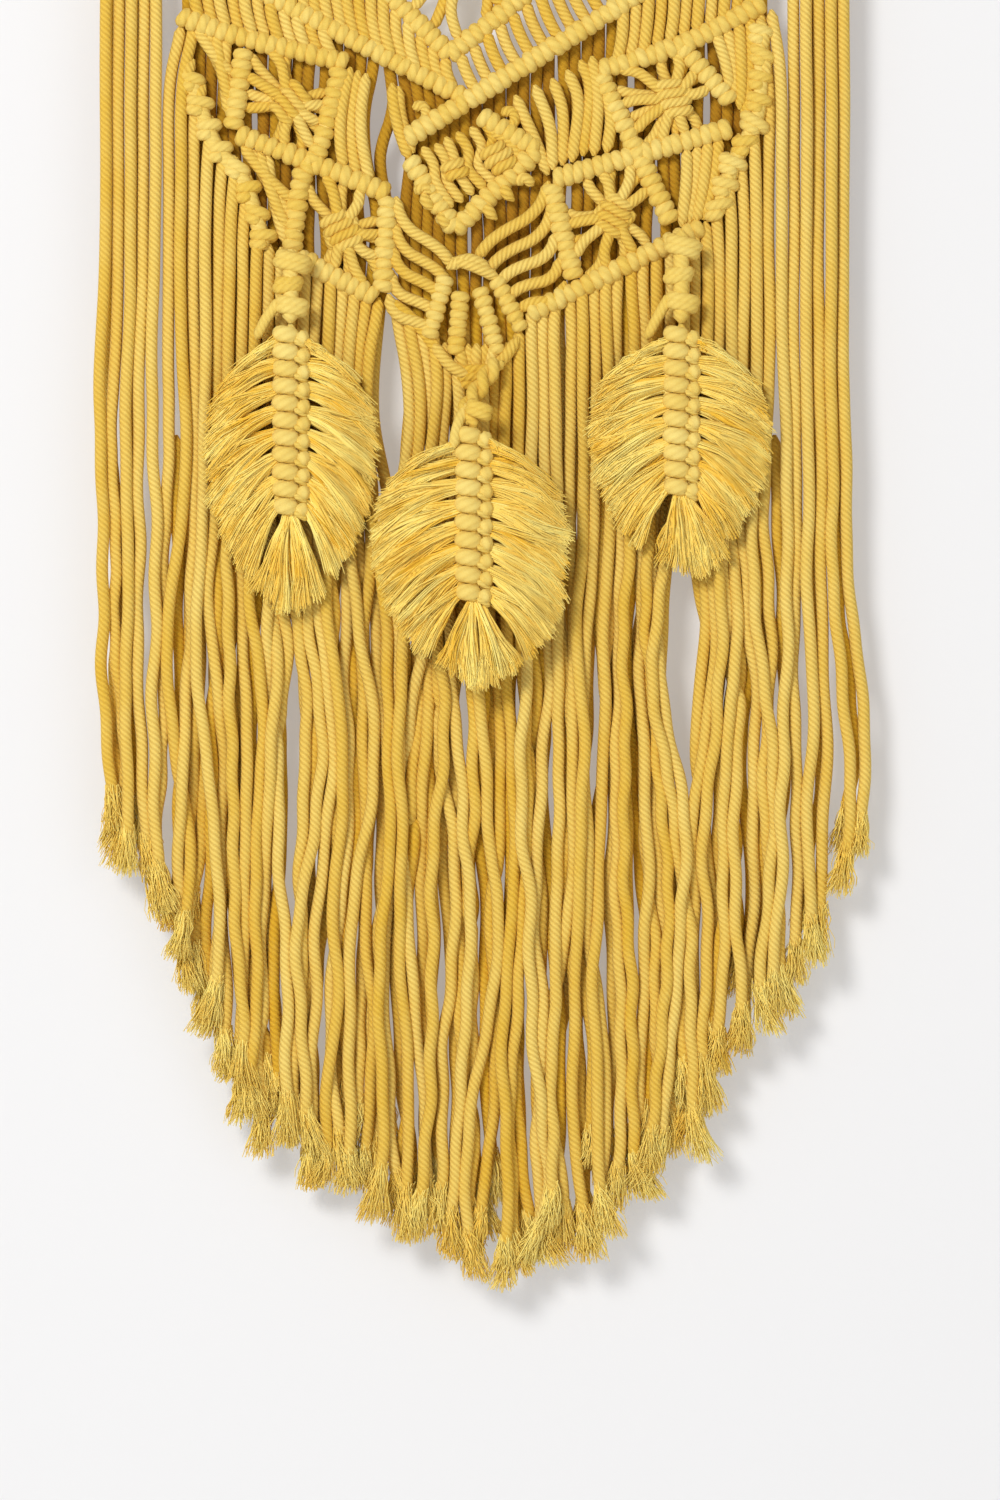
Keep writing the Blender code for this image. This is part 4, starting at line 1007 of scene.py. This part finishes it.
def leaf_fibres(yarn, x, top, spine, half_widths, length, y, lobe=0.0, lean=0.0):
    """Tufts that sweep out and down from the spine, parted at their roots and mixed further out."""
    shares, widths, lows = (np.array(v) for v in zip(*LEAF_OUTLINE))
    tufts, clumps, fibres = 8, 12, 25
    t = np.linspace(0, 1, 7)
    for side in (-1, 1):
        half_width = half_widths[0] if side < 0 else half_widths[1]
        wides = widths * (1.0 + lobe * np.clip((shares - 0.55) / 0.45, 0, 1)) if side > 0 else widths
        for k in range(tufts + 1):
            tail = k == tufts
            for c in range(clumps):
                spread = (c + 0.5) / clumps
                if tail:
                    part = math.floor(spread * 2.0)
                    root = np.array([side * noise.uniform(0.0, 2.0), spine - 0.5])
                    tip = np.array([side * half_width * (0.02 + 0.36 * spread + 0.03 * part) + lean,
                                    length * (1.0 - 0.07 * spread**2) - 1.5 * part])
                    root_share = 1.0
                else:
                    root_share = (k + 0.5 + 0.46 * (spread - 0.5)) / tufts
                    tip_share = min(1.0, max(0.0, (k - 0.5 + 2.0 * spread) / tufts))
                    root = np.array([side * 4.4, spine * root_share])
                    tip = np.array([side * half_width * np.interp(tip_share, shares, wides),
                                    length * np.interp(tip_share, shares, lows)])
                tip = tip + noise.normal(0, 0.7, 2)
                layer = noise.normal(0, 0.8) - 1.1 * (1.0 - (2.0 * spread - 1.0) ** 2)
                tone = noise.normal(0, 0.8)
                wave, speed = noise.normal(0, 0.8), noise.uniform(5, 9)
                lines, radii, shades = [], [], []
                for _ in range(fibres):
                    own = root + noise.normal(0, 1.0, 2) * np.array([0.3, 0.5])
                    end = root + (tip - root) * noise.uniform(0.91, 1.03) + noise.normal(0, 0.8, 2)
                    drop = 0.20 + 0.20 * root_share
                    bend = own + (end - own) * np.array([0.58, drop if not tail else 0.5])
                    near, mid, far = (1 - t) ** 2, 2 * t * (1 - t), t**2
                    curve = near[:, None] * own + mid[:, None] * bend + far[:, None] * end
                    swing = (wave * np.sin(t * speed + c) + noise.normal(0, 0.25) * np.sin(t * 11 + c * 2)) * t
                    curve[:, 0 if tail else 1] += swing
                    out = (layer + noise.normal(0, 0.5)) * np.sin(math.pi * np.clip(t * 0.8 + 0.12, 0, 1))
                    crown = -1.4 * np.sin(math.pi * np.clip(t * 1.1, 0, 1))
                    depths = y + out + crown + 1.2 * t
                    lines.append(at(np.column_stack([x + curve[:, 0], top + curve[:, 1], depths])))
                    radii.append(noise.uniform(0.19, 0.34) * (1.0 - 0.4 * t**2))
                    shades.append(np.clip(tone + noise.normal(0, 0.35), -1.6, 1.6))
                yarn.tubes(np.array(lines), np.array(radii), 3, np.array(shades), (0.0, 1.0, 0.0))


def make_leaf(side, knots_body, leaf_body, half_widths, length, spine_knots, lobe=0.0, lean=0.0):
    """One pendant, placed by its CAD nodes."""
    low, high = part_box(f"{side}_leaf_spine")
    x = (low.x + high.x) / 2 / MM
    y = (low.y + high.y) / 2 / MM
    top = depth_of(high.z) + 3.4
    spine = depth_of(low.z) - 1.2 - top
    yarn = Yarn()
    make_spine(yarn, x, top - 1.5, spine + 1.5, y, spine_knots)
    stem = yarn.object(f"{side}_leaf_stem", knotted)
    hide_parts(f"{side}_leaf_spine")
    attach(stem, leaf_body)
    yarn = Yarn(blocks=True)
    leaf_fibres(yarn, x, top, spine, half_widths, length, y, lobe, lean)
    vane = yarn.object(f"{side}_leaf_vane", brushed, "brushed_cotton")
    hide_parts(f"{side}_leaf_fibres")
    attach(vane, leaf_body)

    knot_low, knot_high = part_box(f"{side}_hanging_knots")
    knot_top, knot_end = depth_of(knot_high.z), depth_of(knot_low.z)
    yarn = Yarn()
    if side == "center":
        middle = smooth([(7.6, 275.4, -5.0), (4.0, 280.6, -7.6), (0.2, 286.6, -10.4), (-2.4, 291.6, -12.6),
                         (-1.4, 296.0, -14.2), (x, knot_end + 1.0, y)], 1.2)
        run = run_of(middle)
        for shift in (0.0, math.pi):
            turn = shift + run * 2 * math.pi / 13.0
            line = middle + np.column_stack([1.5 * np.cos(turn), 0.5 * np.cos(turn), 1.5 * np.sin(turn)])
            yarn.cord(line, 1.8, 10)
        tail = [(-1.6, 289.6, -12.6), (-4.6, 294.4, -15.6), (-6.2, 299.6, y - 2.2), (-6.6, 304.0, y - 2.4)]
        yarn.cord(smooth(tail, 1.6), 1.7, 10)
        lump(yarn, (x + 1.8, knot_end - 3.4), 9.5, 7.5, tilt=0.2, y=y - 0.6, depth_share=0.55, radius=1.75)
    else:
        room = knot_end - knot_top
        for share, wide, tall, lean in ((0.18, 13.0, 8.5, 0.15), (0.50, 10.5, 7.0, -0.2), (0.80, 12.0, 8.0, 0.1)):
            lump(yarn, (x + lean * 4, knot_top + room * share), wide, tall, tilt=lean, y=y + 0.5,
                 depth_share=0.6, radius=2.05)
        yarn.cord(smooth([(x, knot_top, y), (x, knot_end + 1, y)], 2.0), 2.6, 8)
        yarn.cord(smooth([(x - 3, knot_top + room * 0.7, y), (x - 7.5, knot_end - 1, y + 1),
                          (x - 11, knot_end + 6.0, y + 2.5)], 1.8), 1.8, 8)
    knots = yarn.object(f"{side}_pendant_knots", knotted)
    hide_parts(f"{side}_hanging_knots")
    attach(knots, knots_body)


# ---------------------------------------------------------------- stage, lights and camera


def make_stage():
    """A wall behind the hanging and a floor far below it, as one sheet that can't be seen from behind."""
    behind = cad_high.y + 0.005
    floor = -1.05
    half = 6.0
    profile = [(behind, 5.0), (behind, floor + 0.25)]
    for k in range(1, 9):
        turn = math.pi / 2 * k / 8
        profile.append((behind - 0.25 * (1 - math.cos(turn)), floor + 0.25 - 0.25 * math.sin(turn)))
    profile.append((-6.0, floor))
    points = [(x, y, z) for y, z in profile for x in (-half, half)]
    faces = [(2 * i, 2 * i + 1, 2 * i + 3, 2 * i + 2) for i in range(len(profile) - 1)]
    mesh = bpy.data.meshes.new("backdrop")
    mesh.from_pydata(points, [], faces)
    mesh.polygons.foreach_set("use_smooth", [True] * len(mesh.polygons))
    mesh.update()
    if mesh.polygons[0].normal.y > 0:
        mesh.flip_normals()
    n = Nodes("plain_wall")
    n.finish(Base_Color=(0.54, 0.54, 0.545, 1.0), Emission_Color=(1.0, 0.99, 0.985, 1.0), Emission_Strength=0.30,
             Roughness=0.9, Specular_IOR_Level=0.1)
    clear = n.add("ShaderNodeBsdfTransparent")
    both = n.add("ShaderNodeMixShader")
    n.link(n.add("ShaderNodeNewGeometry").outputs["Backfacing"], both.inputs[0])
    n.link(n.shader.outputs[0], both.inputs[1])
    n.link(clear.outputs[0], both.inputs[2])
    n.link(both.outputs[0], n.tree.nodes["Material Output"].inputs["Surface"])
    mesh.materials.append(n.material)
    wall = bpy.data.objects.new("backdrop", mesh)
    bpy.context.scene.collection.objects.link(wall)


def area_light(name, place, target, size, power, colour=(1.0, 1.0, 1.0)):
    light = bpy.data.lights.new(name, "AREA")
    light.shape = "DISK"
    light.size = size
    light.energy = power
    light.color = colour
    obj = bpy.data.objects.new(name, light)
    obj.location = place
    obj.rotation_euler = (Vector(target) - Vector(place)).to_track_quat("-Z", "Y").to_euler()
    obj.visible_camera = False
    bpy.context.scene.collection.objects.link(obj)


def make_camera_and_lights():
    tall = 0.480  # what the view holds from top to bottom
    middle = Vector((0.008, 0.0, -0.530))
    distance = 2.6
    data = bpy.data.cameras.new("view_camera")
    data.lens = data.sensor_width * distance / tall
    camera = bpy.data.objects.new("view_camera", data)
    camera.location = middle + Vector((0.0, -distance, 0.0))
    camera.rotation_euler = (math.pi / 2, 0.0, 0.0)
    data.clip_start, data.clip_end = 0.05, 50.0
    bpy.context.scene.collection.objects.link(camera)
    bpy.context.scene.camera = camera

    area_light("key", (-1.0, -2.2, 0.5), (0.0, 0.0, -0.5), 0.8, 46.0, (1.0, 0.995, 0.985))
    area_light("fill", (1.6, -2.2, -0.3), (0.0, 0.0, -0.5), 2.0, 7.0, (1.0, 1.0, 1.0))
    world = bpy.data.worlds.new("soft_room")
    world.use_nodes = True
    background = world.node_tree.nodes["Background"]
    background.inputs["Color"].default_value = (1.0, 1.0, 1.0, 1.0)
    background.inputs["Strength"].default_value = 0.34
    bpy.context.scene.world = world
    bpy.context.scene.view_settings.view_transform = "Standard"


make_camera_and_lights()
make_stage()
make_top()
make_panel()
make_fringe()
make_leaf("left", "left_pendant", "left_leaf", (26.8, 26.8), 89.0, 11)
make_leaf("center", "center_pendant", "center_leaf", (31.4, 29.6), 80.5, 10, lobe=0.28, lean=2.5)
make_leaf("right", "right_pendant", "right_leaf", (28.4, 27.4), 77.2, 10, lean=4.5)
